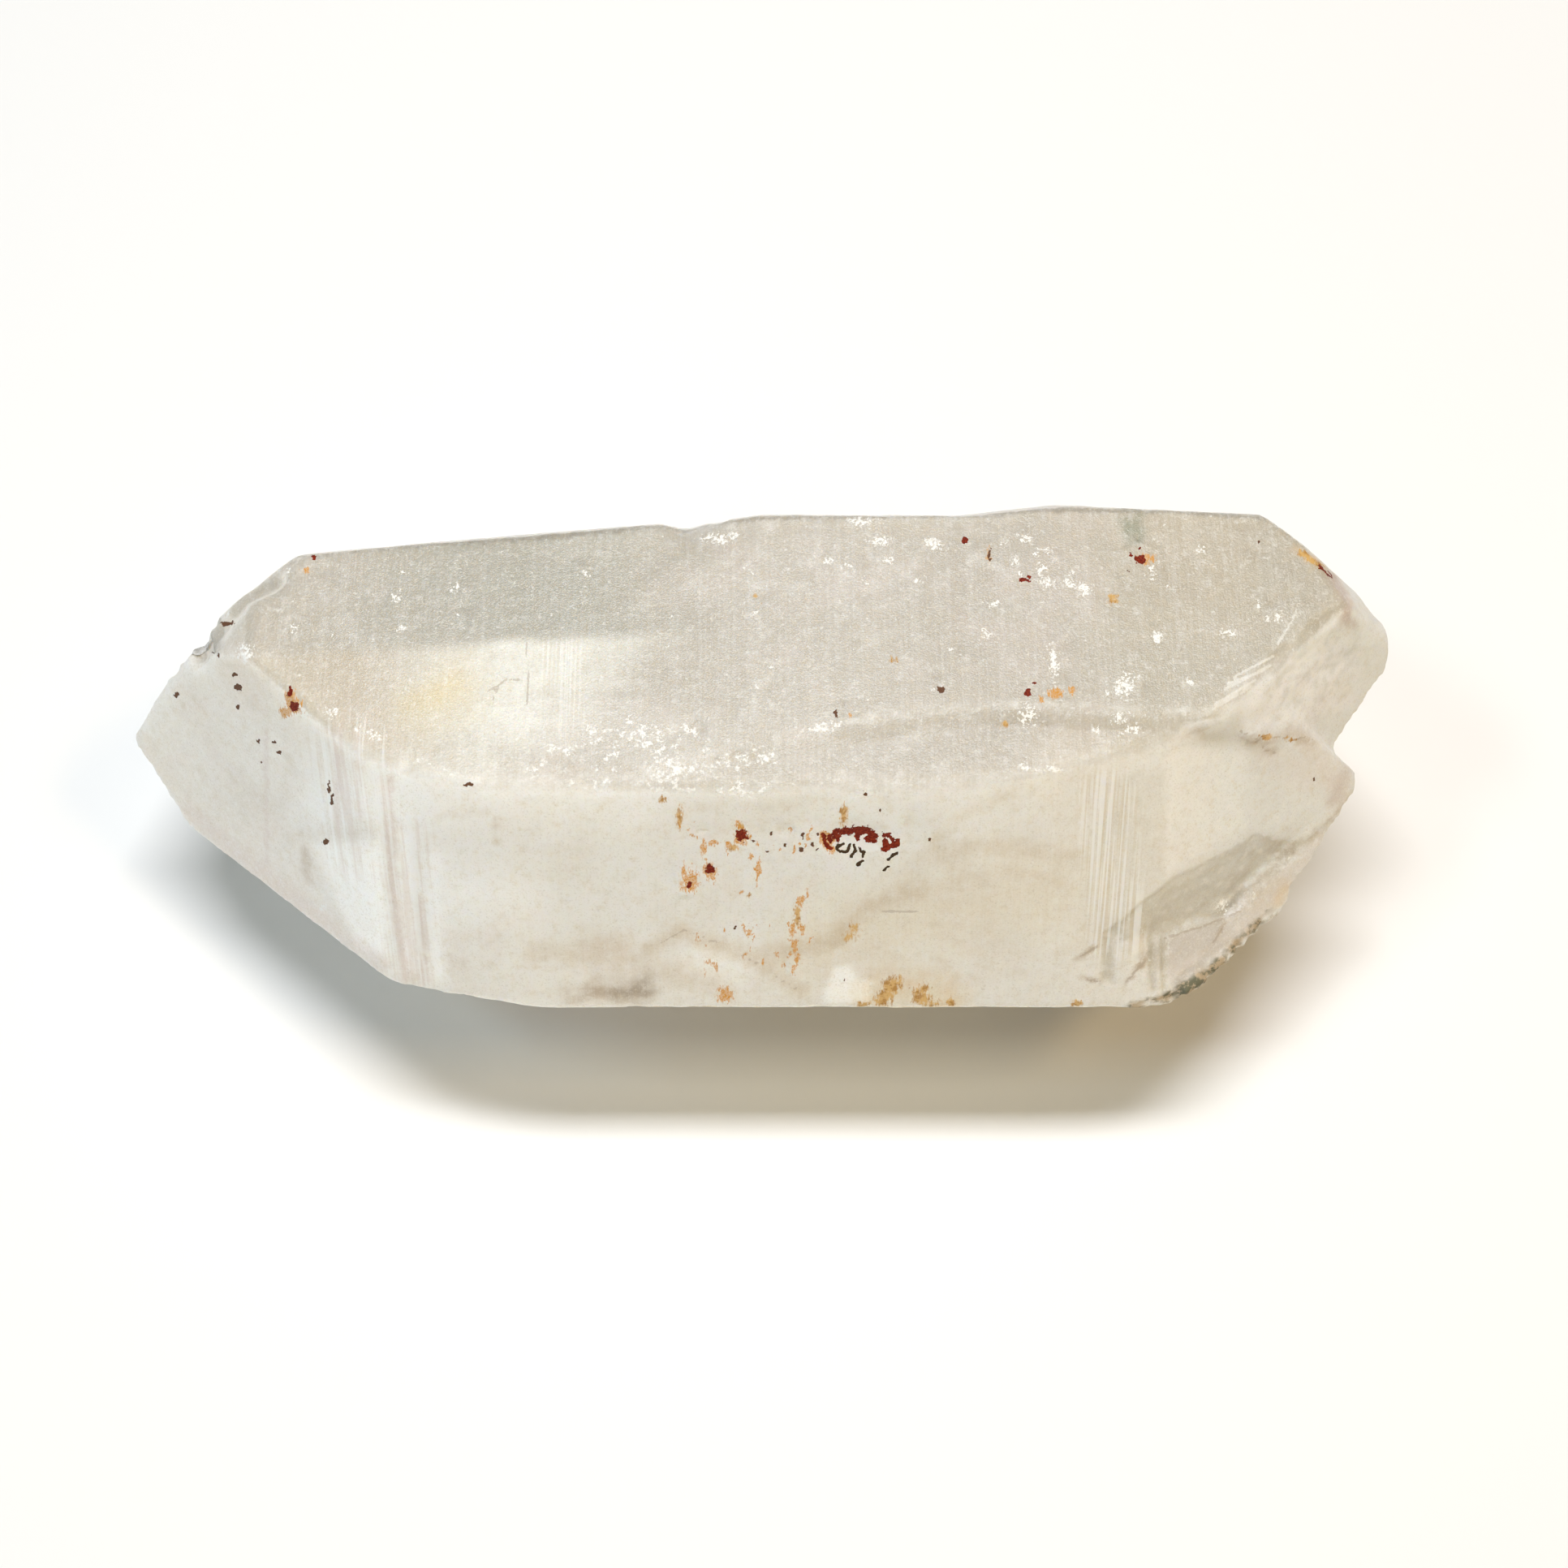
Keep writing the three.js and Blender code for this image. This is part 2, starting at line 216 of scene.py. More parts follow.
SPECKLES = [
    (929, 1036, 0.22, 0.24), (945, 1049, 0.22, 0.16), (951, 1028, 0.19, 0.24), (967, 1042, 0.22, 0.32),
    (987, 1048, 0.22, 0.28), (989, 1030, 0.22, 0.32), (1000, 1040, 0.22, 0.24), (1066, 978, 0.22, 0.24),
    (1008, 1029, 0.19, 0.24), (1040, 1206, 0.15, 0.16), (1144, 1033, 0.22, 0.24),
    (1083, 999, 0.15, 0.16), (317, 913, 0.22, 0.24), (337, 915, 0.22, 0.16), (344, 927, 0.22, 0.24),
    (322, 939, 0.15, 0.16), (267, 807, 0.26, 0.32), (249, 807, 0.3, 0.24), (294, 872, 0.22, 0.28),
    (1006, 1046, 0.22, 0.16), (1551, 668, 0.19, 0.2), (1390, 704, 0.19, 0.16)
]
OCHRE_DOTS = [
    (1100, 812, 0.6, 0.4), (930, 732, 0.5, 0.35), (940, 740, 0.4, 0.3), (1238, 893, 0.5, 0.4),
    (1371, 738, 0.6, 0.6), (904, 1046, 0.8, 0.35), (913, 1018, 0.4, 0.4), (922, 1105, 0.3, 0.4),
    (837, 1008, 0.4, 1.3), (817, 985, 0.4, 0.5), (982, 1128, 0.35, 1.2), (1040, 1004, 0.4, 1.2),
    (1326, 1236, 0.7, 0.4), (1063, 1238, 0.8, 0.3), (1560, 908, 0.9, 0.3), (1590, 911, 0.7, 0.3),
    (1172, 1236, 0.4, 0.7)
]
OCHRE_PATCHES = [
    [(1079, 1241), (1077, 1231), (1086, 1220), (1088, 1211), (1096, 1204), (1110, 1202), (1112, 1212),
     (1107, 1222), (1100, 1231), (1091, 1241)],
    [(1122, 1231), (1128, 1216), (1138, 1211), (1145, 1219), (1147, 1231), (1158, 1236), (1160, 1242),
     (1139, 1241), (1132, 1236)],
    [(1039, 1163), (1042, 1152), (1049, 1139), (1058, 1137), (1057, 1148), (1052, 1157)]
]
# White flakes, where the skin is chipped, and painted glints on the broken face at the right-hand end.
FLAKES_AND_GLINTS = [
    (1240, 668, 0.8, 0.6), (1262, 663, 1.0, 0.6), (1291, 677, 0.6, 0.5), (1251, 690, 0.7, 0.5),
    (1283, 700, 0.9, 0.6), (1275, 683, 0.6, 0.6), (1258, 706, 0.6, 0.4), (1318, 720, 1.0, 0.7),
    (887, 663, 1.5, 0.8), (870, 660, 1.0, 0.6), (1062, 643, 1.8, 0.7), (1150, 670, 1.4, 0.9),
    (1095, 691, 0.9, 0.5), (1047, 697, 0.7, 0.5), (1022, 691, 0.7, 0.5), (1083, 667, 1.9, 0.6),
    (1290, 717, 1.2, 0.8), (1222, 743, 0.8, 0.6), (1213, 780, 0.8, 0.8), (1336, 726, 1.2, 0.9),
    (1297, 818, 0.7, 2.4), (1386, 843, 1.6, 1.6), (1380, 885, 1.1, 0.9), (1397, 898, 1.3, 0.6),
    (1266, 880, 1.4, 1.3), (1297, 949, 1.9, 0.6), (1261, 945, 0.8, 0.5), (1420, 706, 0.6, 0.9),
    (1479, 677, 0.55, 0.5), (1320, 706, 0.4, 0.4), (302, 805, 1.2, 1.3), (363, 773, 0.6, 0.5),
    (410, 877, 0.9, 0.8), (462, 907, 1.0, 0.7), (488, 738, 0.7, 0.5), (560, 725, 1.0, 0.6),
    (492, 775, 0.7, 0.5), (720, 705, 0.8, 0.4), (1506, 1117, 0.8, 0.7), (1409, 1149, 0.5, 0.5),
    (1416, 1183, 0.4, 0.4), (1515, 780, 1.0, 0.8), (1575, 760, 0.9, 0.9), (1425, 785, 0.8, 0.9),
    (1130, 715, 0.7, 0.4), (1350, 900, 0.5, 0.5), (1365, 855, 0.4, 0.4), (580, 1096, 0.4, 0.4),
    (737, 1012, 0.5, 0.4), (693, 990, 0.6, 0.4), (707, 1080, 0.4, 0.4), (398, 1117, 0.6, 0.5),
    (1066, 720, 0.4, 0.3), (1122, 759, 0.4, 0.3), (958, 811, 0.3, 0.3), (728, 900, 0.9, 0.7),
    (719, 905, 0.4, 0.3), (697, 925, 0.9, 0.7), (679, 922, 0.5, 0.4), (656, 952, 0.9, 0.7),
    (668, 940, 0.5, 0.5), (780, 881, 0.5, 0.3), (775, 889, 0.6, 0.4), (768, 900, 0.4, 0.5),
    (791, 904, 0.4, 0.4), (798, 916, 0.4, 0.4), (813, 925, 0.9, 0.6), (824, 940, 0.4, 0.8),
    (809, 932, 0.5, 0.6), (735, 947, 0.3, 0.8), (748, 937, 0.5, 0.5), (760, 949, 0.7, 0.4),
    (757, 929, 0.5, 0.3), (869, 926, 0.4, 1.1), (815, 911, 0.3, 0.7), (834, 920, 0.4, 0.5),
    (840, 905, 0.4, 0.4), (957, 936, 0.3, 0.5), (932, 940, 0.4, 0.3), (908, 970, 1.0, 0.8),
    (923, 983, 1.0, 0.7), (939, 975, 0.6, 0.5), (948, 966, 0.6, 0.4), (975, 969, 0.4, 0.4),
    (818, 972, 0.6, 0.4), (777, 997, 0.7, 0.2), (871, 987, 0.4, 0.3), (718, 705, 0.4, 0.3),
    (766, 749, 0.3, 0.3), (803, 754, 0.25, 0.25), (827, 759, 0.4, 0.3), (823, 795, 0.3, 0.3),
    (917, 698, 0.3, 0.3), (927, 707, 0.3, 0.25), (943, 718, 0.3, 0.25), (932, 756, 0.4, 0.2),
    (941, 765, 0.2, 0.3), (961, 867, 0.25, 0.3), (932, 846, 0.3, 0.3), (921, 857, 0.3, 0.25),
    (950, 822, 0.3, 0.3), (907, 775, 0.25, 0.25), (903, 658, 0.8, 0.5), (775, 654, 0.4, 0.2),
    (560, 694, 0.4, 0.3), (564, 757, 0.3, 0.3), (549, 712, 0.3, 0.2), (327, 758, 0.3, 0.3),
    (280, 757, 0.4, 0.3), (363, 774, 0.5, 0.5), (410, 783, 0.25, 0.25), (491, 775, 0.6, 0.4),
    (493, 706, 0.7, 0.3), (488, 737, 0.7, 0.9), (356, 705, 0.6, 0.4), (446, 896, 0.5, 0.3),
    (361, 741, 0.4, 0.3), (1550, 745, 0.4, 0.5), (1561, 764, 0.3, 0.4), (1538, 764, 0.3, 0.3),
    (1494, 754, 0.4, 0.3), (1423, 783, 0.4, 0.9), (1517, 773, 0.3, 0.3), (1522, 813, 0.3, 0.3),
    (1466, 840, 0.5, 0.4), (1438, 720, 0.6, 0.3), (1480, 677, 0.6, 0.5), (1590, 845, 0.5, 0.3),
    (1612, 812, 0.4, 0.3), (1632, 800, 0.5, 0.3), (1507, 1115, 0.7, 0.8), (1000, 720, 0.3, 0.3),
    (1030, 760, 0.3, 0.2), (1052, 800, 0.3, 0.3), (1088, 770, 0.25, 0.3), (1170, 800, 0.3, 0.3),
    (1190, 730, 0.3, 0.3), (1150, 850, 0.3, 0.2), (1340, 790, 0.3, 0.3)
]
# The oval ring of rust: its arc, its right and left ends, its white core and its dark crumbs.
RING_ARC = [
    [(1032, 1035), (1028, 1029), (1030, 1024), (1037, 1026), (1042, 1022), (1047, 1025), (1053, 1022),
     (1060, 1025), (1067, 1021), (1074, 1026), (1078, 1030), (1077, 1034), (1070, 1033)],
    [(1057, 1025), (1057, 1033)]
]
RING_RIGHT = [
    [(1088, 1028), (1094, 1028), (1099, 1033), (1100, 1040), (1094, 1044), (1089, 1049), (1090, 1037)],
    [(1106, 1036), (1105, 1040), (1102, 1042)]
]
RING_LEFT = [
    [(1014, 1030), (1016, 1037), (1020, 1042), (1025, 1046)], [(1021, 1030), (1023, 1036)]
]
RING_CORE = [
    (1032, 1030), (1053, 1027), (1080, 1036), (1084, 1049), (1060, 1050), (1034, 1042)
]
RING_CRUMBS = [
    [(1039, 1041), (1032, 1041), (1031, 1047), (1036, 1049), (1043, 1050)],
    [(1047, 1041), (1044, 1049)], [(1052, 1042), (1053, 1049), (1049, 1056)],
    [(1059, 1045), (1059, 1049), (1065, 1050), (1063, 1056)], [(1104, 1051), (1094, 1059)],
    [(1094, 1068), (1089, 1072)], [(1063, 1061), (1056, 1066)]
]
OVAL_RING = [(1058, 1040, 4.6, 3.2)]
# The broken surface and the pale facet at the right-hand end, the scratches and the cracks.
FRACTURE = [
    (1360, 1152), (1380, 1135), (1444, 1085), (1486, 1064), (1526, 1043), (1546, 1029), (1600, 1040),
    (1640, 1008), (1643, 1014), (1606, 1050), (1573, 1062), (1552, 1076), (1536, 1092), (1519, 1121),
    (1503, 1130), (1470, 1137), (1437, 1155), (1404, 1155), (1380, 1165)
]
FRACTURE_BARS = [
    [(1357, 1154), (1373, 1160), (1373, 1212), (1357, 1209)],
    [(1414, 1154), (1424, 1153), (1424, 1222), (1416, 1222)],
    [(1430, 1154), (1437, 1153), (1437, 1222), (1431, 1222)]
]
PALE_FACET = [
    (1442, 1157), (1503, 1135), (1540, 1095), (1600, 1055), (1655, 990), (1650, 1020), (1575, 1115),
    (1510, 1180), (1446, 1224), (1440, 1200)
]
WIDE_SCRATCH = [(1650, 757), (1627, 787), (1609, 810), (1586, 826)]
TIP_SCRATCHES = [
    [(1570, 808), (1520, 834)], [(1566, 819), (1508, 850)], [(1548, 837), (1498, 867)],
    [(1556, 827), (1512, 842)], [(1540, 847), (1494, 874)], [(1594, 743), (1597, 753), (1591, 768)],
    [(1664, 860), (1643, 874)], [(1590, 768), (1574, 794)]
]
CRACKS = [
    [(648, 790), (651, 830), (650, 868)], [(600, 852), (613, 845), (626, 836), (640, 838)],
    [(613, 845), (606, 868)], [(1086, 1124), (1110, 1123), (1134, 1124)], [(1456, 800), (1452, 808)],
    [(843, 1146), (890, 1165), (933, 1187), (985, 1222)], [(800, 1172), (843, 1146)],
    [(1387, 1210), (1400, 1196), (1411, 1184)], [(1326, 1182), (1352, 1166)],
    [(1330, 1206), (1358, 1210)], [(1436, 1156), (1487, 1140), (1530, 1122)],
    [(1496, 1161), (1510, 1137)],
    [(1528, 899), (1545, 910), (1565, 906), (1590, 913), (1612, 908), (1624, 916)],
    [(1548, 914), (1558, 924), (1572, 928)]
]
# Chips in the rim, the edges of the top and front faces, the low ledge and the front crest.
RIM_CHIPS = [
    (240, 792, 1.9, 3.6), (842, 643, 0.7, 3.0), (884, 639, 0.45, 6.0), (1702, 757, 0.6, 4.0),
    (215, 826, 0.5, 1.2), (262, 766, 0.5, 1.0)
]
TOP_RIM = [
    (268, 690), (420, 678), (560, 668), (700, 659), (880, 640), (1080, 635), (1210, 634), (1290, 628),
    (1440, 630), (1560, 637)
]
FRONT_RIM = [
    (345, 1200), (490, 1216), (660, 1240), (900, 1243), (1200, 1243), (1395, 1243)
]
LEDGE = [
    (957, 913), (1000, 910), (1033, 893), (1093, 883), (1167, 877), (1227, 868), (1283, 867),
    (1486, 876)
]
FRONT_CREST = [
    (414, 912), (486, 948), (570, 966), (655, 973), (835, 977), (943, 970), (1076, 975), (1164, 970),
    (1275, 953), (1364, 931), (1463, 906)
]
# Areas that need a finer mesh, given as dots are, and the marks that need the finest.
FINE_AREAS = [
    (1470, 1130, 11, 9.5), (1560, 820, 7, 6), (630, 830, 2.5, 4), (785, 925, 11, 5.5)
]
SHARP_MARKS = RUST_DOTS + RUST_HALOS + DARK_DOTS + SPECKLES + OVAL_RING


def gap_to_path(path, columns, rows, closed=False):
    """How many pixels of the frame lie between each of the given places and a path."""
    gap = np.full(len(columns), np.inf)
    for start, end in zip(path, path[1:] + path[:1] if closed else path[1:]):
        along = np.subtract(end, start)
        away = np.stack([columns - start[0], rows - start[1]], axis=1)
        share = np.clip(away @ along / (along @ along), 0, 1)
        gap = np.minimum(gap, np.linalg.norm(away - share[:, None] * along, axis=1))
    return gap


def soften(verts, passes):
    """Draws vertices halfway to the middle of their neighbours, the given number of times."""
    for _ in range(passes):
        bmesh.ops.smooth_vert(stone_bm, verts=verts, factor=0.5,
                              use_axis_x=True, use_axis_y=True, use_axis_z=True)


# The mesh is made twice as fine under the small marks, along two rims and in a few areas, and
# twice as fine again under the smallest marks. Faces left with more than four corners are split.
stone_bm = bmesh.new()
stone_bm.from_mesh(stone_mesh)
for marked, rims in ((SHARP_MARKS + FLAKES_AND_GLINTS + FINE_AREAS, [TOP_RIM, FRONT_RIM]), (SHARP_MARKS, [])):
    corners = np.array([vert.co for vert in stone_bm.verts])
    outward = np.array([vert.normal for vert in stone_bm.verts])
    columns, rows = frame_places(corners)
    fine = np.zeros(len(corners), dtype=bool)
    for column, row, wide, high in marked:
        fine |= ((np.abs(columns - column) < wide * PIXELS_PER_MM + FINE_MARGIN)
                 & (np.abs(rows - row) < high * PIXELS_PER_MM + FINE_MARGIN))
    for rim in rims:
        fine |= gap_to_path(rim, columns, rows) < FINE_MARGIN
    toward_camera = CAMERA_PLACE - corners
    distance = np.linalg.norm(toward_camera, axis=1)
    fine &= (toward_camera * outward).sum(axis=1) > FINE_FACING * distance
    stone_bm.verts.index_update()
    fine_edges = [edge for edge in stone_bm.edges if all(fine[vert.index] for vert in edge.verts)]
    bmesh.ops.subdivide_edges(stone_bm, edges=fine_edges, cuts=1, use_grid_fill=True)
bmesh.ops.triangulate(stone_bm, faces=[face for face in stone_bm.faces if len(face.verts) > 4])
sharp_places = np.array([vert.co for vert in stone_bm.verts])
soften(stone_bm.verts, WEAR_PASSES)
columns, rows = frame_places(sharp_places)
by_ledge = gap_to_path(LEDGE, columns, rows) < LEDGE_REACH * PIXELS_PER_MM
stone_bm.verts.index_update()
ledge_verts = [vert for vert in stone_bm.verts if by_ledge[vert.index] and vert.normal.z > 0]
soften(ledge_verts, LEDGE_SOFTENING)
stone_bm.to_mesh(stone_mesh)
stone_bm.free()


def vertex_values(attribute):
    """One row of three numbers for every vertex of the stone."""
    values = np.empty(len(stone_mesh.vertices) * 3)
    stone_mesh.vertices.foreach_get(attribute, values)
    return values.reshape(-1, 3)


# From here on the camera's frame is used as a map of the stone. A vertex is seen when it faces
# the camera. Lengths on the map are in its pixels.
SEEN_FACING = (0.0, 0.1)
GRAIN_SHIFT = (7.3, 3.1, 5.7)
WIDE_REACH = 3
LEVEL_NUDGE = 0.001
FIELD_END = 3.0
SEED = 11

places = vertex_values("co")
normals = vertex_values("normal")
columns, rows = frame_places(places)
toward_camera = CAMERA_PLACE - places
facing = (toward_camera * normals).sum(axis=1) / np.linalg.norm(toward_camera, axis=1)
seen = soft_step(facing, *SEEN_FACING)


def grain(scale, seed=0):
    """Smooth noise from -1 to 1 at every vertex, with lumps about scale millimetres wide."""
    step = 1 / (scale * MM)
    shift = Vector([seed * part for part in GRAIN_SHIFT])
    return np.array([noise.noise(Vector(place) * step + shift) for place in places])


# The pixels by which the edges of broad tones waver, and the map on which small marks fray.
waver = 10 * grain(5.0, 12) + 5 * grain(1.5, 13)
fray_columns = columns + 3.0 * grain(0.7, 21) + 2.0 * grain(0.3, 23)
fray_rows = rows + 3.0 * grain(0.7, 22) + 2.0 * grain(0.3, 24)


def near(path, reach, soft=0.5, wander=0.4):
    """1 on a path, fading to 0 at reach millimetres from it, over the last soft share of that."""
    gap = gap_to_path(path, fray_columns, fray_rows)
    gap += wander * waver * min(reach, WIDE_REACH) / WIDE_REACH
    return seen * soft_step(1 - gap / (reach * PIXELS_PER_MM), 0, soft)


def depth_inside(outline):
    """How many pixels of the frame a vertex lies inside a closed outline, negative outside it."""
    within = np.zeros(len(places), dtype=bool)
    for start, end in zip(outline, outline[1:] + outline[:1]):
        drop = end[1] - start[1] + LEVEL_NUDGE
        crossing = start[0] + (fray_rows - start[1]) * (end[0] - start[0]) / drop
        within ^= ((fray_rows > start[1]) != (fray_rows > end[1])) & (fray_columns < crossing)
    gap = gap_to_path(outline, fray_columns, fray_rows, closed=True)
    return np.where(within, gap, -gap)


def inside(outline, soft=4.0):
    """1 inside a closed outline on the frame, with an edge soft pixels wide on either side."""
    return seen * soft_step(depth_inside(outline), -soft, soft)


def nearest(*fields):
    """Joins fields that are 0 in the middle of a mark, 1 at its rim and more outside it."""
    return np.where(seen > 0.5, np.minimum.reduce(fields), FIELD_END).clip(0, FIELD_END)


def spots(dots):
    """The field of a list of dots."""
    field = np.full(len(places), FIELD_END)
    for column, row, wide, high in dots:
        across = (fray_columns - column) / (wide * PIXELS_PER_MM)
        down = (fray_rows - row) / (high * PIXELS_PER_MM)
        field = np.minimum(field, np.hypot(across, down))
    return field


def strokes(paths, reach, fray=1.0):
    """The field of marks drawn along paths, reach millimetres to either side."""
    across = columns + fray * (fray_columns - columns)
    down = rows + fray * (fray_rows - rows)
    gaps = [gap_to_path(path, across, down) for path in paths]
    return np.minimum.reduce(gaps) / (reach * PIXELS_PER_MM)


def patches(outlines):
    """The field of marks drawn as closed outlines."""
    return np.minimum.reduce([1 - depth_inside(outline) / PIXELS_PER_MM for outline in outlines])


def union(*masks):
    """The strongest of several masks at every vertex."""
    return np.maximum.reduce(masks)


def brushed(touches):
    """The strongest of several touches. Each is the four values that near takes and a strength."""
    return union(*[near(*brush) * strength for *brush, strength in touches])


def filled(areas):
    """The strongest of several areas. Each is the two values that inside takes and a strength."""
    return union(*[inside(*shape) * strength for *shape, strength in areas])


def rightward(edge, wander=0):
    """0 left of the first of two columns, rising to 1 right of the second, and wavering."""
    return soft_step(columns + wander * waver, *edge)


def downward(edge, wander=0):
    """0 above the first of two rows, rising to 1 below the second, and wavering."""
    return soft_step(rows + wander * waver, *edge)


# ---- Quartz crystal: the colours -----------------------------------------------------------
# Milky quartz is white where it is cloudy, greyer where it is clear, and warm where iron has
# crept in. Its broad tones are mixed here at every vertex, one touch of colour over another, and
# the marks that the finish breaks up with finer noise are kept apart.

MILKY_SIDE = (0.972, 0.953, 0.912)
TOP_PAINTED_SHADE = (0.58, 0.54, 0.475)
OLIVE = (0.50, 0.46, 0.34)
BAND_SHADE_AND_GRAIN_GREY = (0.56, 0.565, 0.50)
CREAM = (0.72, 0.63, 0.50)
BEIGE = (0.86, 0.77, 0.60)
PAINTED_GLOW_AMBER = (0.93, 0.77, 0.42)
PAINTED_GLOW_OLIVE = (0.80, 0.66, 0.34)
SNOW = (0.98, 0.97, 0.94)
PAINTED_GLOW_WHITE = (0.95, 0.96, 0.90)
PINK_GREY = (0.78, 0.69, 0.64)
VEIL = (0.68, 0.57, 0.42)
VEIL_BROWN = (0.48, 0.36, 0.24)
GREEN = (0.25, 0.29, 0.21)
OCHRE_TAN = (0.80, 0.56, 0.34)
PAINTED_RIM_SHADE = (0.36, 0.33, 0.28)
PALE_BLUE = (0.82, 0.86, 0.88)
PURPLE_GREY = (0.55, 0.45, 0.42)
CLOUD_GREY = (0.80, 0.77, 0.71)
TOP_GREY = (0.46, 0.44, 0.39)
TOP_TAN = (0.44, 0.35, 0.26)
SMUDGE_GREY = (0.34, 0.28, 0.21)
PALE_LILAC = (0.89, 0.90, 0.97)
FACET_GREY = (0.74, 0.70, 0.69)
UNDER_AMBER = (0.72, 0.58, 0.32)
FAINT_RUST = (0.66, 0.42, 0.22)
# How far a face tilts up before it counts as top, how far a worn edge has moved, and the
# millimetres beside the ledge in which no wear shows, with the pixels over which it comes back.
UPWARD = (0.55, 0.90)
EDGE_WEAR = (0.05 * MM, 0.25 * MM)
LEDGE_WIDTH = 2.6
LEDGE_FADE = 6

upward = soft_step(normals[:, 2], *UPWARD)
on_top = upward * seen
on_side = (1 - upward) * seen
fine_grain = grain(0.9, 17)
grit = grain(1.6, 18)
blotches = 0.5 + 0.5 * grit + 0.25 * fine_grain
edge_wear = soft_step(np.linalg.norm(places - sharp_places, axis=1), *EDGE_WEAR)
to_ledge = gap_to_path(LEDGE, columns, rows)
edge_wear *= 1 - seen * soft_step(LEDGE_WIDTH * PIXELS_PER_MM - to_ledge, 0, LEDGE_FADE)
tone = np.tile(np.array(MILKY_SIDE), (len(places), 1))


def paint(colour, share):
    """Turns the tone to a colour by a share at every vertex."""
    tone[:] += (np.array(colour) - tone) * np.clip(share, 0, 1)[:, None]


# Painted shade: the faces that look up are turned much darker than the sides, as the overhead light
# falls brightest on them.
paint(TOP_PAINTED_SHADE, upward)
paint(OLIVE, 0.15 * soft_step(grain(11, 14) + 0.5 * grain(4.0, 15), -0.1, 0.8))
paint(PINK_GREY, 0.28 * soft_step(grain(9, 16) + 0.5 * grain(3.0, 19), 0.0, 0.6))
paint(SNOW, 0.30 * soft_step(grain(3.0, 20) + 0.5 * fine_grain, 0.25, 0.8))
paint(OLIVE, 0.16 * soft_step(grit + 0.6 * fine_grain, 0.1, 0.8))

# The clear window near the left end, with its inside painted on: a grey band of painted dark
# reflection above a painted bright, partly amber glow. An edge is the pair of columns or rows
# between which a tone rises.
WINDOW_MIDDLE = (640, 790)
BAND_FOOT = (778, 800)
BAND_SLOPE = 0.06
BAND_LEFT = (350, 600)
BAND_RIGHT = (680, 920)
GLOW_LEFT = (430, 560)
GLOW_RIGHT = (700, 875)
GLOW_SLOPE = 0.86
GLOW_FOOT = (890, 985)
GLOW_FULL = (540, 640)
CREAM_RIGHT = (420, 560)
AMBER_HAZE = [(505, 880), (560, 850)]
AMBER_HEART = [(500, 866), (530, 858), (556, 842)]

below_band = soft_step(rows + BAND_SLOPE * (columns - WINDOW_MIDDLE[0]) + 0.5 * waver, *BAND_FOOT)
glow_right = 1 - soft_step(columns + GLOW_SLOPE * (rows - WINDOW_MIDDLE[1]) + 3 * waver, *GLOW_RIGHT)
shaded_band = on_top * (1 - below_band) * rightward(BAND_LEFT, 4)
shaded_band *= 1 - rightward(BAND_RIGHT, 3)
painted_glow = on_top * below_band * rightward(GLOW_LEFT, 1) * glow_right
painted_glow *= 1 - downward(GLOW_FOOT, 2)
# Painted dark reflection in the band, then the painted glow below it.
paint(BAND_SHADE_AND_GRAIN_GREY, shaded_band * (0.35 + 0.65 * blotches))
paint(CREAM, 0.6 * on_top * below_band * (1 - rightward(CREAM_RIGHT, 1)))
paint(PAINTED_GLOW_WHITE, painted_glow * (0.58 + 0.28 * blotches) * (0.62 + 0.38 * rightward(GLOW_FULL)))
paint(PAINTED_GLOW_AMBER, 0.30 * painted_glow * near(AMBER_HAZE, 6.5, 1.0))
paint(PAINTED_GLOW_OLIVE, 0.45 * painted_glow * near(AMBER_HEART, 2.6, 1.0, 0.8))

# Whiter and pinker parts, seen through the skin, and a painted highlight along the front rim. The
# sides of the left end are painted warmer and those of the right-hand ends bluer, against the cool
# and warm side light. A touch is a path, how many millimetres it reaches to either side, what share
# of that fades, how far its edge wanders, and its strength. An area is a closed outline, how many
# pixels wide its edge fades, and its strength.
PALE_TOUCHES = [
    ([(495, 945), (505, 1190)], 1.6, 1.0, 0.8, 0.6),
    ([(536, 1060), (540, 1205)], 1.6, 1.0, 0.8, 0.7),
    ([(560, 1100), (640, 1110)], 6.0, 1.0, 0.4, 0.5),
    ([(870, 1180), (910, 1195)], 3.4, 1.0, 1.5, 0.6),
    ([(400, 985), (600, 980), (780, 1000)], 5.5, 1.0, 1.0, 0.45),
    # Painted highlight: a thin pale line along the front rim.
    (FRONT_RIM, 0.5, 0.8, 0.3, 0.8)
]
PALE_AREAS = [
    ([(385, 1040), (470, 1035), (478, 1180), (440, 1165)], 10, 1.0),
    ([(1016, 1236), (1018, 1220), (1024, 1206), (1029, 1192), (1046, 1190), (1060, 1206),
      (1076, 1209), (1073, 1228), (1070, 1236)], 3, 1.0),
    ([(1438, 920), (1540, 925), (1530, 1020), (1430, 1085)], 5, 0.45)
]
PINK_TOUCHES = [
    ([(1638, 709), (1650, 718), (1661, 743), (1657, 764)], 1.0, 0.9, 0.5, 1.0),
    ([(1632, 860), (1612, 900)], 2.0, 1.0, 1.0, 0.5),
    ([(478, 960), (482, 1090), (500, 1205)], 0.9, 0.8, 0.5, 1.0),
    ([(515, 1110), (522, 1207)], 0.8, 0.8, 0.5, 1.0),
    ([(328, 900), (328, 1087)], 0.5, 0.8, 0.3, 0.6),
    ([(415, 900), (418, 1015)], 0.8, 1.0, 0.5, 0.8),
    ([(440, 905), (445, 1010)], 0.8, 1.0, 0.5, 0.7),
    ([(230, 1000), (470, 1190)], 1.6, 1.0, 0.5, 0.7),
    ([(1600, 900), (1655, 980)], 3.0, 1.0, 0.4, 0.6),
    ([(1560, 930), (1640, 960)], 4.0, 1.0, 1.0, 0.4)
]
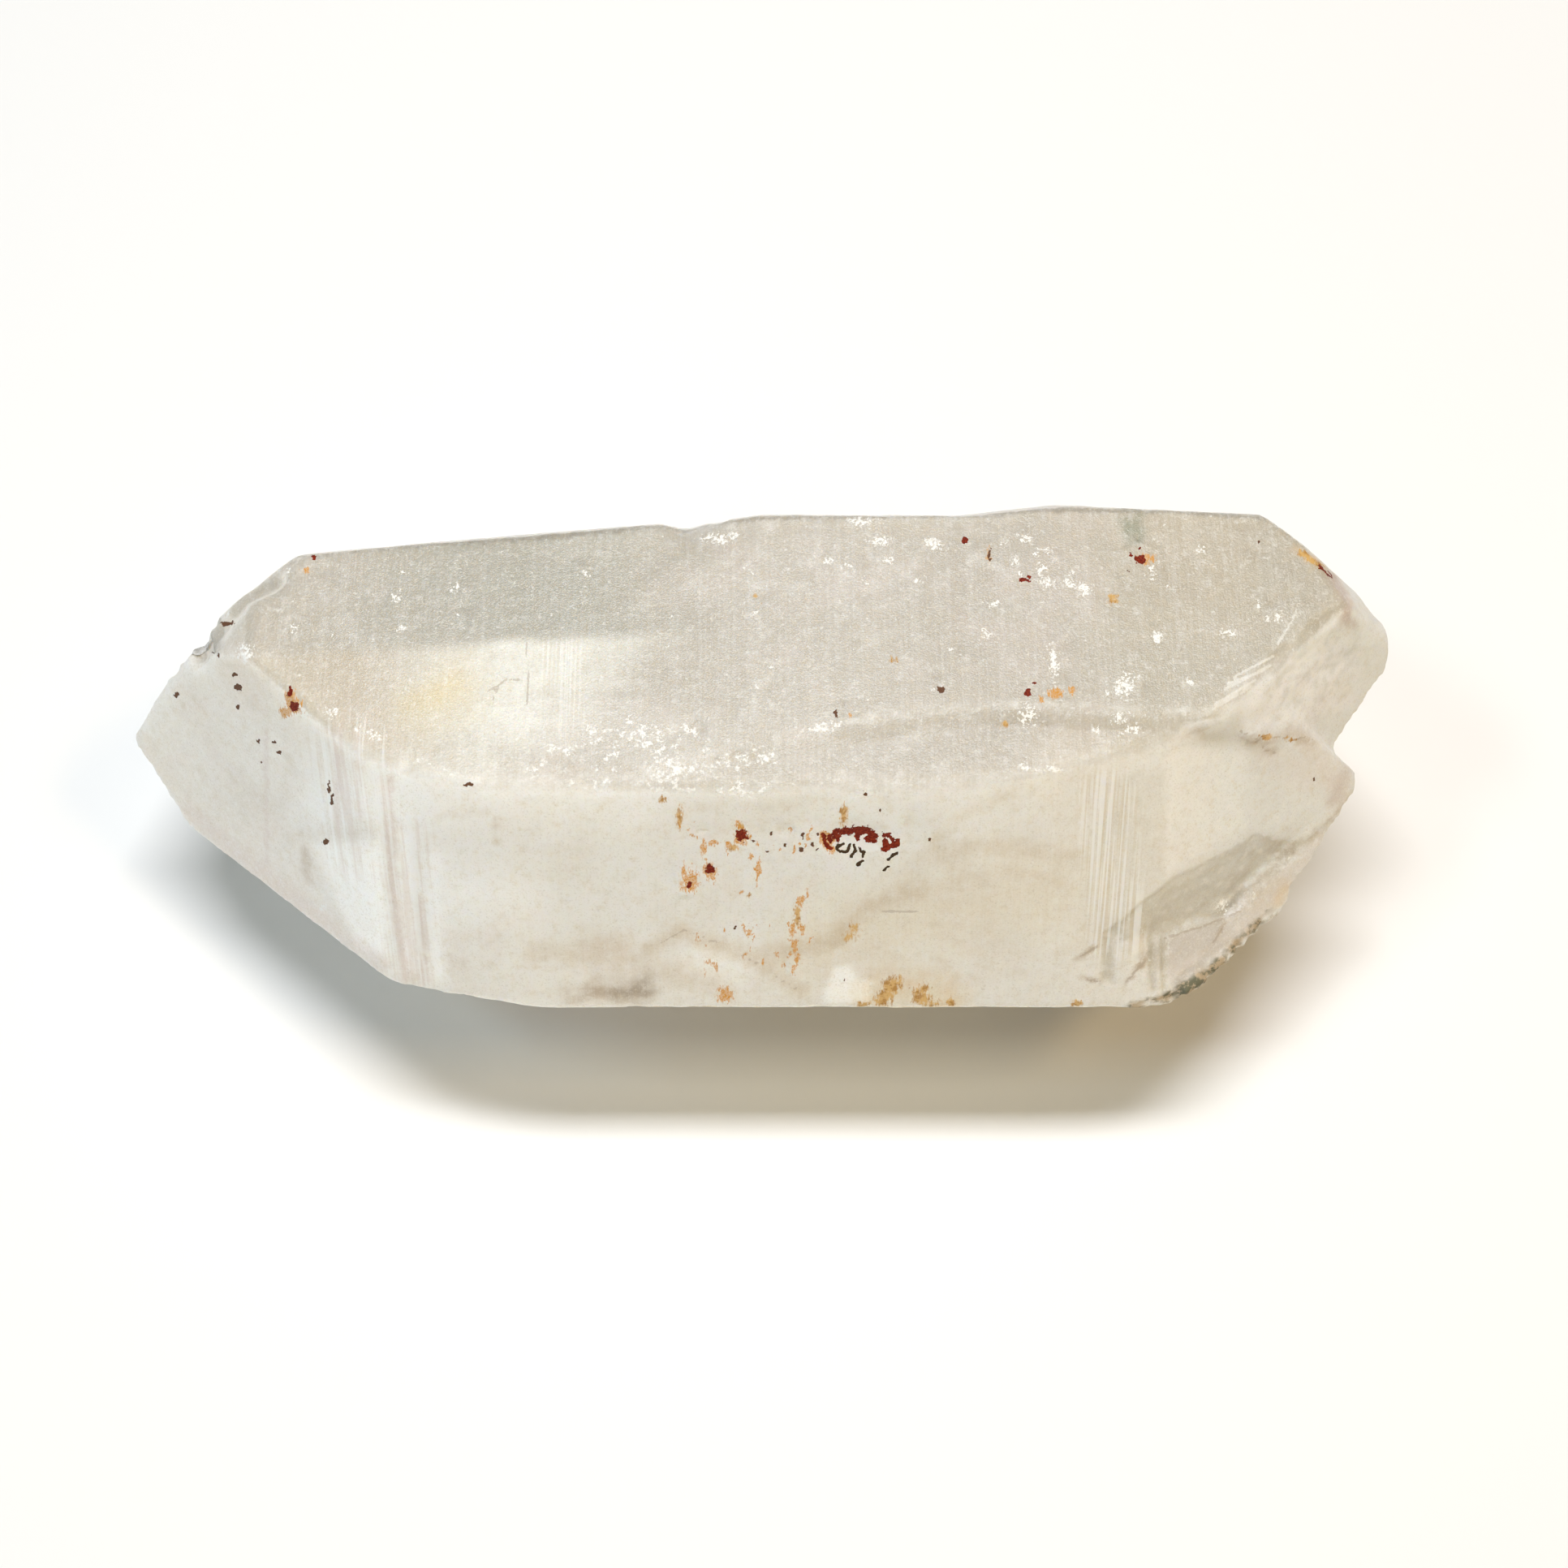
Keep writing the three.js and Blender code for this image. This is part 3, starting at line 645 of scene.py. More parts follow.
WARM_HAZE = [(1010, 1165), (1180, 1120), (1290, 1110)]
RIGHT_CREST = [(1290, 925), (1460, 905), (1530, 900)]
BRUISED_BELT = [(680, 900), (760, 900), (850, 925)]
TAN_HAZE = [(1090, 1225), (1130, 1215), (1160, 1235)]
CLOUDY_LEFT = (1150, 1280)
CLOUDY_HEAD = (880, 960)
FRONT_FOOT = (1180, 1236)
BLUE_LEFT = (1380, 1560)
WARM_END = (330, 520)
PINK_HEAD = (960, 1040)
CREAM_TOP_LEFT = (1250, 1500)
CREAM_TOP_FOOT = (740, 840)
GREY_TOP_LEFT = (1480, 1600)
GREY_TOP_FOOT = (790, 860)
GREY_STEP_LEFT = (1549, 1555)
GREY_STEP_FOOT = (740, 770)
PALE_TOP_LEFT = (800, 950)
PALE_TOP_RIGHT = (1050, 1200)

pale = union(brushed(PALE_TOUCHES), filled(PALE_AREAS))
warm_end = on_side * (1 - rightward(WARM_END, 4))
tan_haze = near(TAN_HAZE, 5.0, 1.0, 1.0)
paint(BEIGE, 0.55 * near(WARM_HAZE, 9.0, 1.0, 1.5))
paint(SNOW, 0.95 * pale)
paint(CLOUD_GREY, 0.22 * on_side * rightward(CLOUDY_LEFT, 2) * downward(CLOUDY_HEAD, 1))
paint(CLOUD_GREY, 0.30 * on_side * downward(FRONT_FOOT, 0.5))
paint(CLOUD_GREY, 0.35 * near(RIGHT_CREST, 4.0, 1.0, 1.0))
# Painted light: the sides of the right-hand ends are turned pale blue, against the warm light from the
# right.
paint(PALE_BLUE, 0.7 * on_side * rightward(BLUE_LEFT, 3))
# Painted light: the sides of the left end are turned warmer, against the cool light from the left.
paint(CREAM, 0.32 * warm_end)
paint(PINK_GREY, 0.16 * warm_end * downward(PINK_HEAD, 1))
paint(PINK_GREY, 0.9 * brushed(PINK_TOUCHES))
paint(FACET_GREY, 0.8 * inside(PALE_FACET, 5))
paint(CREAM, 0.35 * on_top * rightward(CREAM_TOP_LEFT, 6) * (1 - downward(CREAM_TOP_FOOT, 1)))
paint(TOP_GREY, 0.5 * on_top * rightward(GREY_TOP_LEFT, 2) * (1 - downward(GREY_TOP_FOOT, 1)))
paint(TOP_GREY, 0.25 * on_top * rightward(GREY_STEP_LEFT) * (1 - downward(GREY_STEP_FOOT, 1)))
paint(SNOW, 0.30 * on_top * near(BRUISED_BELT, 8.0, 1.0, 1.5))
paint(SNOW, 0.12 * on_top * rightward(PALE_TOP_LEFT, 6) * (1 - rightward(PALE_TOP_RIGHT, 6)))
paint(BEIGE, 0.8 * tan_haze)
paint(OCHRE_TAN, 0.35 * tan_haze * soft_step(blotches, 0.2, 0.8))

# Veils: healed cracks that cross the clouded inside as soft brownish films. Dirt has settled in
# the smudges, along the notch and in the fine cracks.
VEIL_TOUCHES = [
    ([(800, 1172), (843, 1146), (933, 1187), (985, 1222)], 1.7, 1.0, 1.2, 1.0),
    ([(933, 1183), (987, 1168), (1027, 1160), (1053, 1127), (1100, 1107), (1135, 1095)],
      1.7, 1.0, 1.2, 1.0),
    ([(1130, 1060), (1175, 1010), (1260, 967)], 1.2, 1.0, 1.0, 0.35),
    ([(1150, 1050), (1230, 1040), (1333, 1058)], 1.6, 1.0, 1.5, 0.5),
    ([(1170, 1085), (1250, 1075), (1320, 1090)], 1.5, 1.0, 1.5, 0.5),
    ([(660, 1178), (760, 1165)], 2.4, 1.0, 1.5, 0.7),
    ([(770, 1185), (890, 1215)], 2.6, 1.0, 1.5, 0.5)
]
SMUDGE_TOUCHES = [
    ([(700, 1226), (790, 1220)], 2.0, 1.0, 1.5, 1.0),
    ([(373, 1024), (453, 1027), (507, 1020), (553, 1003), (600, 1000)],
      0.7, 0.8, 0.5, 0.25),
    ([(613, 1010), (613, 1038)], 0.6, 0.8, 0.4, 0.5),
    ([(374, 1050), (380, 1082)], 0.9, 0.8, 0.4, 0.6),
    ([(1530, 908), (1556, 914), (1585, 906), (1618, 917)], 0.8, 0.9, 0.6, 1.0),
    ([(1556, 922), (1570, 926)], 0.9, 0.9, 0.6, 0.8),
    ([(1590, 898), (1608, 906)], 1.0, 0.9, 0.6, 0.7),
    ([(1485, 897), (1400, 925), (1320, 950)], 0.3, 0.8, 0.2, 0.5),
    ([(1575, 1050), (1606, 1046), (1646, 1004), (1662, 980)], 0.6, 0.9, 0.5, 0.8),
    ([(1566, 735), (1600, 742), (1630, 745)], 1.1, 1.0, 0.4, 0.4),
    ([(1387, 1210), (1411, 1184)], 0.45, 0.7, 0.2, 1.0),
    ([(1326, 1182), (1352, 1166)], 0.45, 0.7, 0.2, 1.0),
    ([(1330, 1205), (1358, 1210)], 0.4, 0.7, 0.2, 1.0),
    ([(1496, 1161), (1510, 1137)], 0.45, 0.7, 0.2, 1.0)
]
DARK_SMUDGE = [(762, 1224), (792, 1216)]
LEFT_SNOW = [(370, 1000), (500, 995)]
STRIPED_ZONE = [(1350, 960), (1437, 948), (1437, 1110), (1350, 1160)]
CRUST_OCHRE = [(1576, 1108), (1586, 1094)]
FRACTURE_PALER = (1400, 1480)
FRACTURE_BROWNER = (1470, 1560)

broken_face = inside(FRACTURE, 3)
fracture = union(broken_face, *[inside(bar, 3) * 0.9 for bar in FRACTURE_BARS])
paint(VEIL, 0.85 * brushed(VEIL_TOUCHES) * (0.4 + 0.6 * blotches))
paint(VEIL_BROWN, 0.75 * brushed(SMUDGE_TOUCHES) * soft_step(blotches, 0.1, 0.7))
paint(SMUDGE_GREY, 0.55 * near(DARK_SMUDGE, 2.2, 1.0, 1.5) * soft_step(blotches, 0.0, 0.6))
paint(SNOW, 0.35 * near(LEFT_SNOW, 3.0, 1.0, 1.0))
paint(OLIVE, 0.16 * inside(STRIPED_ZONE, 4))
paint(OCHRE_TAN, 0.5 * near(CRUST_OCHRE, 1.5, 1.0, 0.8))
paint(OLIVE, (0.42 - 0.18 * rightward(FRACTURE_PALER)) * fracture * (0.6 + 0.8 * blotches))
paint(VEIL_BROWN, 0.36 * broken_face * rightward(FRACTURE_BROWNER) * soft_step(blotches, 0.4, 0.8))
paint(SNOW, 0.60 * broken_face * soft_step(fine_grain, 0.30, 0.5))

# Stains along the rear rim and at the right-hand tip, then worn edges, painted light on the front
# crest and the broken tip, painted shade by the ledge and along the top rim, and the hidden faces.
# Each rim stain is a colour, its strength, and the path, reach, fade and wander of a touch.
GREEN_STAIN = [(1394, 628), (1398, 654)]
RIM_OCHRE = [(1598, 678), (1626, 697)]
RIM_STAINS = [
    (VEIL_BROWN, 0.8, [(1624, 696), (1642, 713)], 0.7, 0.7, 0.3),
    (PURPLE_GREY, 0.7, [(1641, 713), (1652, 730), (1661, 752)], 0.9, 0.7, 0.4),
    (PURPLE_GREY, 0.6, [(1655, 760), (1668, 770)], 0.9, 0.8, 0.5),
    (PURPLE_GREY, 0.5, [(1662, 945), (1654, 965), (1640, 990)], 1.4, 0.9, 0.8),
    (OLIVE, 0.5, [(1633, 858), (1655, 848)], 1.4, 0.7, 1.0),
    (BEIGE, 0.6, [(1640, 852), (1655, 848)], 1.8, 1.0, 1.0)
]
FACET_VEIL = [(1535, 1112), (1568, 1090)]
TIP_SNOW = [(1530, 872), (1600, 850)]
TIP_LILAC = [(1570, 865), (1635, 842)]
TIP_GRAIN = [(1600, 850), (1655, 810)]
LEDGE_PAINTED_SHADE = [(1290, 915), (1400, 905)]
WINDOW_CORNER = [(360, 770), (390, 820)]
PALE_REAR = [(690, 655), (820, 650)]
TAN_TOP_LEFT = (1370, 1430)
TAN_TOP_FOOT = (720, 790)
OLIVE_TOP_LEFT = (1280, 1420)
AMBER_FROM = (-30 * MM, 10 * MM)
DOWNWARD = (0.15, 0.5)

paint(GREEN, near(GREEN_STAIN, 1.9, 0.6, 0.8) * soft_step(blotches, 0.0, 0.5))
paint(OCHRE_TAN, 0.8 * near(RIM_OCHRE, 0.9, 0.7, 0.4) * soft_step(blotches, 0.1, 0.6))
for colour, strength, *brush in RIM_STAINS:
    paint(colour, strength * near(*brush))
paint(SNOW, 0.25 * edge_wear * soft_step(blotches, 0.4, 0.9))
# Partly the crest's own pale line, partly painted light that lifts the shade on its rounded edge.
paint(SNOW, 0.5 * near(FRONT_CREST, 1.1, 1.0, 0.4))
paint(VEIL, 0.6 * near(FACET_VEIL, 2.2, 1.0, 1.2) * blotches)
paint(SNOW, 0.35 * near(TIP_SNOW, 4.5, 1.0, 1.0))
# Painted light: the broken tip is turned lilac, against the warm light from the right.
paint(PALE_LILAC, 0.65 * near(TIP_LILAC, 6.0, 0.8, 1.0))
paint(TOP_TAN, 0.22 * on_top * rightward(TAN_TOP_LEFT, 1) * (1 - downward(TAN_TOP_FOOT)))
# Painted shade below the ledge, in the colour of the veils, against the light its slope catches.
paint(VEIL, 0.20 * near(LEDGE_PAINTED_SHADE, 3.5, 1.0, 1.0))
paint(OLIVE, 0.12 * on_top * near(WINDOW_CORNER, 6.0, 1.0, 1.0))
paint(OLIVE, 0.30 * on_top * rightward(OLIVE_TOP_LEFT, 2))
paint(SNOW, 0.14 * on_top * near(PALE_REAR, 5.0, 1.0))
facing_down = soft_step(-normals[:, 2], *DOWNWARD)
paint(UNDER_AMBER, 0.85 * (1 - seen) * facing_down * soft_step(places[:, 0], *AMBER_FROM))
# Painted shade: a thin dark line along the top rim.
paint(PAINTED_RIM_SHADE, 0.75 * near(TOP_RIM, 0.4, 0.7, 0.1))
tip_grain = near(TIP_GRAIN, 6.0, 0.8)
paint(SNOW, 0.35 * tip_grain * soft_step(fine_grain, 0.05, 0.35))
paint(BAND_SHADE_AND_GRAIN_GREY, 0.30 * tip_grain * soft_step(-fine_grain, 0.05, 0.35))
hidden_rust = (1 - seen) * soft_step(grain(8, 25) + 0.4 * grit, 0.45, 0.65)
paint(FAINT_RUST, 0.7 * hidden_rust * soft_step(blotches, 0.3, 0.8))
hidden_veil = (1 - seen) * soft_step(1 - np.abs(grain(16, 26)) * 9, 0, 1)
paint(VEIL, 0.5 * hidden_veil * blotches)

# The marks. A broad one is a mask from 0 to 1. A small one is a field that is 0 in its middle and
# 1 at its rim, because the finish makes that rim ragged. The last says how clear the stone is.
BRUISE_TOUCHES = [
    ([(640, 955), (760, 925), (900, 920)], 8.0, 1.0, 1.5, 0.62),
    ([(670, 935), (760, 905), (860, 900)], 3.2, 0.9, 1.5, 0.8),
    ([(820, 955), (950, 930)], 3.2, 0.9, 1.5, 0.8),
    ([(340, 850), (470, 915), (560, 955)], 1.3, 0.9, 1.0, 0.7),
    ([(990, 900), (1033, 893)], 1.5, 0.9, 1.0, 0.8),
    ([(660, 962), (930, 978)], 1.5, 0.9, 1.0, 0.75)
]
SCRATCH_TOUCHES = [
    (WIDE_SCRATCH, 0.75, 0.5, 0.1, 0.5),
    ([(1486, 876), (1560, 866)], 0.8, 0.8, 0.3, 0.4),
    ([(600, 984), (933, 984), (1033, 967), (1200, 960)], 0.7, 0.8, 0.4, 0.2)
]
LEFT_STRIPES = [
    ([(430, 930), (450, 1040)], 6.5, 0.6, 0.4, 1.0),
    ([(500, 1040), (505, 1190)], 4.5, 0.6, 0.4, 1.0)
]
RIGHT_STRIPES = [(1365, 985), (1375, 1150)]
WINDOW_STRIPES = [(690, 800), (700, 900)]
CRUST_LINE = [
    (1578, 1118), (1545, 1142), (1526, 1163), (1498, 1189), (1474, 1209), (1455, 1222), (1427, 1234),
    (1394, 1241)
]
CRUST_LUMPS = [
    ([(1505, 1187), (1496, 1193)], 1.0, 0.6, 0.6, 1.0),
    ([(1477, 1206), (1458, 1220)], 1.2, 0.6, 0.6, 1.0)
]
RIM_RUST = [[(1624, 696), (1641, 712)]]
RIM_OCHRE_LINE = [[(1601, 681), (1626, 697)]]
TICK_COUNT = 70
TICK_COLUMNS = (835, 1010)
TICK_ROWS = (1000, 1205)
TICK_WIDTH = (0.15, 0.25)
TICK_HEIGHT = (0.3, 0.8)
TICK_FAINTNESS = 0.25
CLEAR_SHARE = 0.28
END_FACING = (0.15, 0.40)
CLOUDY_END = (400, 560)
CLOUDY_TIP = [(1570, 865), (1630, 845)]

prism_face = 1 - soft_step(np.abs(normals[:, 0]), *END_FACING)
marks = {}
marks["bruises"] = union(brushed(BRUISE_TOUCHES),
                         (1 - seen) * soft_step(grain(7, 27) + 0.5 * grit, 0.45, 0.8))
marks["scratches"] = union(brushed(SCRATCH_TOUCHES),
                           near(LEDGE, 0.6, 0.8, 0.3) * soft_step(blotches, 0.35, 0.8) * 0.5)
marks["flakes_and_glints"] = nearest(spots(FLAKES_AND_GLINTS))
marks["thin_scratches"] = nearest(strokes(TIP_SCRATCHES, 0.15, 0.2))
marks["cracks"] = nearest(strokes(CRACKS, 0.13, 0.4))
marks["stripes_left"] = brushed(LEFT_STRIPES)
marks["stripes_right"] = union(near(RIGHT_STRIPES, 4.3, 0.5), (1 - seen) * 0.5,
                               painted_glow * near(WINDOW_STRIPES, 4.0, 0.8) * 0.6, 0.10 * prism_face * seen)
marks["crust"] = union(near(CRUST_LINE, 0.7, 0.6, 1.0) * soft_step(blotches, 0.1, 0.6),
                       brushed(CRUST_LUMPS))
marks["rust"] = nearest(spots(RUST_DOTS), strokes(RING_ARC, 0.36), strokes(RING_RIGHT, 0.24),
                        strokes(RING_LEFT, 0.22), strokes(RIM_RUST, 0.14))
tick_dice = np.random.default_rng(SEED + 1)
ticks = zip(tick_dice.uniform(*TICK_COLUMNS, TICK_COUNT), tick_dice.uniform(*TICK_ROWS, TICK_COUNT),
            tick_dice.uniform(*TICK_WIDTH, TICK_COUNT), tick_dice.uniform(*TICK_HEIGHT, TICK_COUNT))
marks["orange"] = nearest(spots(ticks) + TICK_FAINTNESS, spots(RUST_HALOS), strokes(RING_LEFT, 0.50))
marks["ochre"] = nearest(spots(OCHRE_DOTS), patches(OCHRE_PATCHES), strokes(RIM_OCHRE_LINE, 0.35))
marks["dark"] = nearest(spots(DARK_DOTS), spots(SPECKLES))
marks["black"] = nearest(strokes(RING_CRUMBS, 0.16, 0.6))
marks["ring_core"] = inside(RING_CORE, 2)
marks["see_through"] = (CLEAR_SHARE + 0.04 * upward + 0.16 * shaded_band - 0.08 * painted_glow + 0.08 * fracture
                        - 0.21 * np.clip(pale, 0, 1) - 0.12 * (1 - upward) * (1 - rightward(CLOUDY_END))
                        - 0.15 * near(CLOUDY_TIP, 5.5, 0.8))

# The relief: growth steps across the prism faces, ripples on the broken tip, pits, lumps and
# chips, and the wear along every edge. All heights are in millimetres.
STEP_SPAN = (-80, 80)
STEP_PITCH = 1.4
STEP_SHIFT = 0.4
TIP_BREAK = [(1530, 850), (1600, 830), (1660, 790)]
RIPPLE_MIDDLE = (1700, 930)
RIPPLE_PITCH = 2.4
RIPPLE_HEIGHT = 0.08
BREAK_GRIT = 0.12
SWELL = 0.10
LUMPS = 0.04
STEP_HEIGHT = 0.02
STRIPE_HEIGHT = 0.05
SCRATCH_LIP = 0.05
FRACTURE_GRIT = 0.15
FRACTURE_DEPTH = 0.25
BRUISE_GRAIN = 0.03
CRUST_HEIGHT = 0.10
CRUST_LUMPINESS = 0.45
EDGE_CHIPS = 0.35
EDGE_PITS = 0.22

dice = np.random.default_rng(SEED)
step_places = np.arange(*STEP_SPAN, STEP_PITCH)
step_places += dice.uniform(-STEP_SHIFT, STEP_SHIFT, len(step_places))
steps = np.interp(places[:, 0] / MM, step_places, dice.uniform(-1, 1, len(step_places)))
tip_break = near(TIP_BREAK, 6.0, 0.8)
ripple_gap = np.hypot(columns - RIPPLE_MIDDLE[0], rows - RIPPLE_MIDDLE[1]) / PIXELS_PER_MM
ripples = np.sin(ripple_gap * 2 * math.pi / RIPPLE_PITCH + 1.2 * grain(4.0, 5))

stripes = union(marks["stripes_left"], marks["stripes_right"])
relief = SWELL * grain(14, 3) + LUMPS * grain(2.2, 4)
relief += prism_face * steps * (STEP_HEIGHT + STRIPE_HEIGHT * stripes)
relief += tip_break * (ripples * RIPPLE_HEIGHT + BREAK_GRIT * grit)
relief += marks["scratches"] * SCRATCH_LIP
relief += fracture * (FRACTURE_GRIT * grit - FRACTURE_DEPTH)
relief += marks["bruises"] * BRUISE_GRAIN * fine_grain
relief += marks["crust"] * (CRUST_HEIGHT + CRUST_LUMPINESS * grain(1.2, 8))
for column, row, depth, reach in RIM_CHIPS:
    gap = np.hypot(columns - column, rows - row) / PIXELS_PER_MM
    relief -= depth * soft_step(1 - gap / reach, 0, 1)
relief -= edge_wear * (EDGE_CHIPS * soft_step(grain(3.0, 9), 0.0, 0.45)
                       + EDGE_PITS * soft_step(grit, 0.1, 0.5))
places += normals * relief[:, None] * MM
places = np.clip(places, CAD_BOX[0], CAD_BOX[1])
stone_mesh.vertices.foreach_set("co", places.ravel())
for name, values in marks.items():
    stored = stone_mesh.attributes.new(name, "FLOAT", "POINT")
    stored.data.foreach_set("value", values)
stored = stone_mesh.attributes.new("tone", "FLOAT_VECTOR", "POINT")
stored.data.foreach_set("vector", tone.ravel())
stone_mesh.update()

# ---- Quartz crystal: the finish ------------------------------------------------------------
# Milky quartz, cloudy all through, with one window of clear quartz near its left end. Iron
# oxide stains it in dots, streaks and one oval ring. Its faces are satin, finely striped across
# the crystals, and flecked with white bruises.

WHITE = (*SNOW, 1)
STRIPE_PINK = (0.76, 0.66, 0.60, 1)
STRIPE_BEIGE = (0.72, 0.63, 0.48, 1)
RUST = (0.13, 0.010, 0.003, 1)
RUST_BRIGHT = (0.26, 0.030, 0.008, 1)
ORANGE = (0.60, 0.28, 0.050, 1)
OCHRE = (0.60, 0.35, 0.09, 1)
OCHRE_DEEP = (0.36, 0.17, 0.035, 1)
DARK_SPECK = (0.13, 0.060, 0.032, 1)
NEAR_BLACK = (0.055, 0.032, 0.016, 1)
GRAIN_DARK = (0.50, 0.45, 0.37, 1)
CHIP_WHITE = (0.90, 0.90, 0.87, 1)
CRACK_GREY = (0.46, 0.38, 0.30, 1)
CRUST_BROWN = (0.42, 0.32, 0.20, 1)
CRUST_GREEN = (0.10, 0.11, 0.07, 1)
# An edge is the pair of values between which a mark starts or ends.
RIM_EDGE = (0.92, 1.08)
SPARKLE_EDGE = (0.70, 0.76)
CRUMB_EDGE = (0.60, 0.72)
CHIP_EDGE = (0.42, 0.52)
FLAKE_EDGE = (0.20, 0.32)
OCHRE_EDGE = (0.55, 1.3)
ORANGE_EDGE = (0.65, 1.15)
# The milky quartz, the clear quartz, the dry skin over both, and what the stone absorbs.
QUARTZ_IOR = 1.544
MILKY_ROUGHNESS = 0.55
STAIN_SHINE = 0.3
MILKY_RADIUS = (1.0, 0.85, 0.65)
MILKY_DEPTH = 6 * MM
CLEAR_TINT = (0.97, 0.97, 0.95, 1)
CLEAR_ROUGHNESS = 0.30
SKIN_ROUGHNESS = 0.6
SKIN_SPECULAR = 0.12
SKIN_SHARE = 0.25
BUMP_STRENGTH = 0.35
BUMP_HEIGHT = 0.1 * MM
ABSORBED_TINT = (0.93, 0.90, 0.78, 1)
ABSORPTION = 70.0

quartz = bpy.data.materials.new("milky_quartz")
quartz.use_nodes = True
quartz_tree = quartz.node_tree


class Shade:
    """An output socket of the quartz's node tree. Arithmetic on it adds Math nodes."""

    def __init__(self, socket):
        self.socket = socket

    @classmethod
    def node(cls, kind, settings=None, sockets=None, output=0):
        """Adds a node, sets it, fills or links its inputs, and returns one of its outputs."""
        added = quartz_tree.nodes.new("ShaderNode" + kind)
        for key, value in (settings or {}).items():
            setattr(added, key, value)
        for key, value in (sockets or {}).items():
            if isinstance(value, Shade):
                quartz_tree.links.new(value.socket, added.inputs[key])
            else:
                added.inputs[key].default_value = value
        return cls(added.outputs[output])

    def math(self, operation, *others):
        """A Math node on this value and the others."""
        return Shade.node("Math", {"operation": operation}, dict(enumerate((self,) + others)))

    def strongest(self, *others):
        """The greatest of this value and the others."""
        result = self
        for other in others:
            result = result.math("MAXIMUM", other)
        return result

    def also(self, output):
        """Another output of the same node."""
        return Shade(self.socket.node.outputs[output])

    def __add__(self, other):
        return self.math("ADD", other)

    __radd__ = __add__

    def __mul__(self, other):
        return self.math("MULTIPLY", other)

    __rmul__ = __mul__

    def __sub__(self, other):
        return self.math("SUBTRACT", other)

    def __rsub__(self, other):
        return Shade.node("Math", {"operation": "SUBTRACT"}, {0: other, 1: self})

    def above(self, low, high):
        """0 up to low, 1 from high on, and a smooth rise between them."""
        return Shade.node("MapRange", {"interpolation_type": "SMOOTHSTEP"},
                          {"Value": self, "From Min": low, "From Max": high})

    def below(self, low, high):
        """1 up to low, 0 from high on, and a smooth fall between them."""
        return 1 - self.above(low, high)


def mask(name):
    """The marks of one name, as they are stored at the vertices."""
    return Shade.node("Attribute", {"attribute_name": name}, output="Fac")


def scaled(vector, factors):
    """A vector with each of its parts multiplied."""
    return Shade.node("VectorMath", {"operation": "MULTIPLY"}, {0: vector, 1: factors})


def cloud(vector, scale, detail=2.0, roughness=0.5):
    """Noise from 0 to 1, with lumps about 1 / scale millimetres wide."""
    return Shade.node("TexNoise", None, {"Vector": vector, "Scale": scale, "Detail": detail,
                                         "Roughness": roughness})


def ragged(field, noise_field, strength):
    """1 inside the marks of a field that is 1 at their rims, which the noise makes ragged."""
    return (field + (noise_field - 0.5) * strength).below(*RIM_EDGE)


def tint(base, colour, share):
    """base, turned to colour by share."""
    return Shade.node("Mix", {"data_type": "RGBA"}, {0: share, 6: base, 7: colour}, output=2)


# Noise at several sizes. The lines run around the crystals, across their length.
position = scaled(Shade.node("TexCoord", output="Object"), (1 / MM, 1 / MM, 1 / MM))
broken = cloud(position, 0.9, 3.0, 0.75)
crumbs = cloud(position, 2.4, 2.0, 0.75)
satin = cloud(position, 6.0, 0.0)
grain_fine = cloud(position, 4.5, 2.0, 0.8)
specks = Shade.node("TexVoronoi", None, {"Vector": position, "Scale": 0.95})
speck_size = specks.also("Color") * 0.5
lines = cloud(scaled(position, (1.3, 0.04, 0.04)), 1.0, 2.0, 0.75)
fine_lines = cloud(scaled(position, (3.0, 0.05, 0.05)), 1.0, 1.0, 0.6)
streaks = cloud(scaled(position, (3.0, 1.0, 1.0)), 1.0, 2.0, 0.75)
crust = mask("crust")
stripes_left = mask("stripes_left")
stripes_right = mask("stripes_right")

# The marks, broken up.
# White specks over the faces, partly painted glints.
specks_and_glints = (specks + speck_size + crumbs * 0.6 + grain_fine * 0.6).below(*SPARKLE_EDGE)
specks_and_glints = specks_and_glints.strongest(crumbs.above(*CRUMB_EDGE) * 0.7)
chips = (mask("bruises") * 0.55 + broken * 0.6 + crumbs * 0.5 - 0.55).above(*CHIP_EDGE)
# White flakes, and painted glints on the broken face.
flakes_and_glints = (mask("flakes_and_glints") * 0.6 + (0.5 - crumbs) * 2.2 + (0.5 - grain_fine) * 1.8).below(*FLAKE_EDGE)
thin_scratches = ragged(mask("thin_scratches"), crumbs, 1.2)
white_marks = chips.strongest(specks_and_glints * 0.8, flakes_and_glints, mask("scratches") * 0.7, thin_scratches * 0.5)
rust_spots = ragged(mask("rust"), crumbs, 1.6)
dark_spots = ragged(mask("dark"), crumbs, 1.2)
black_spots = ragged(mask("black"), crumbs, 1.6)
cracks = ragged(mask("cracks"), crumbs, 1.8)
ochre_spots = (mask("ochre") + (streaks - 0.5) * 2.4).below(*OCHRE_EDGE)
orange_spots = (mask("orange") + (streaks - 0.5) * 2.6).below(*ORANGE_EDGE)

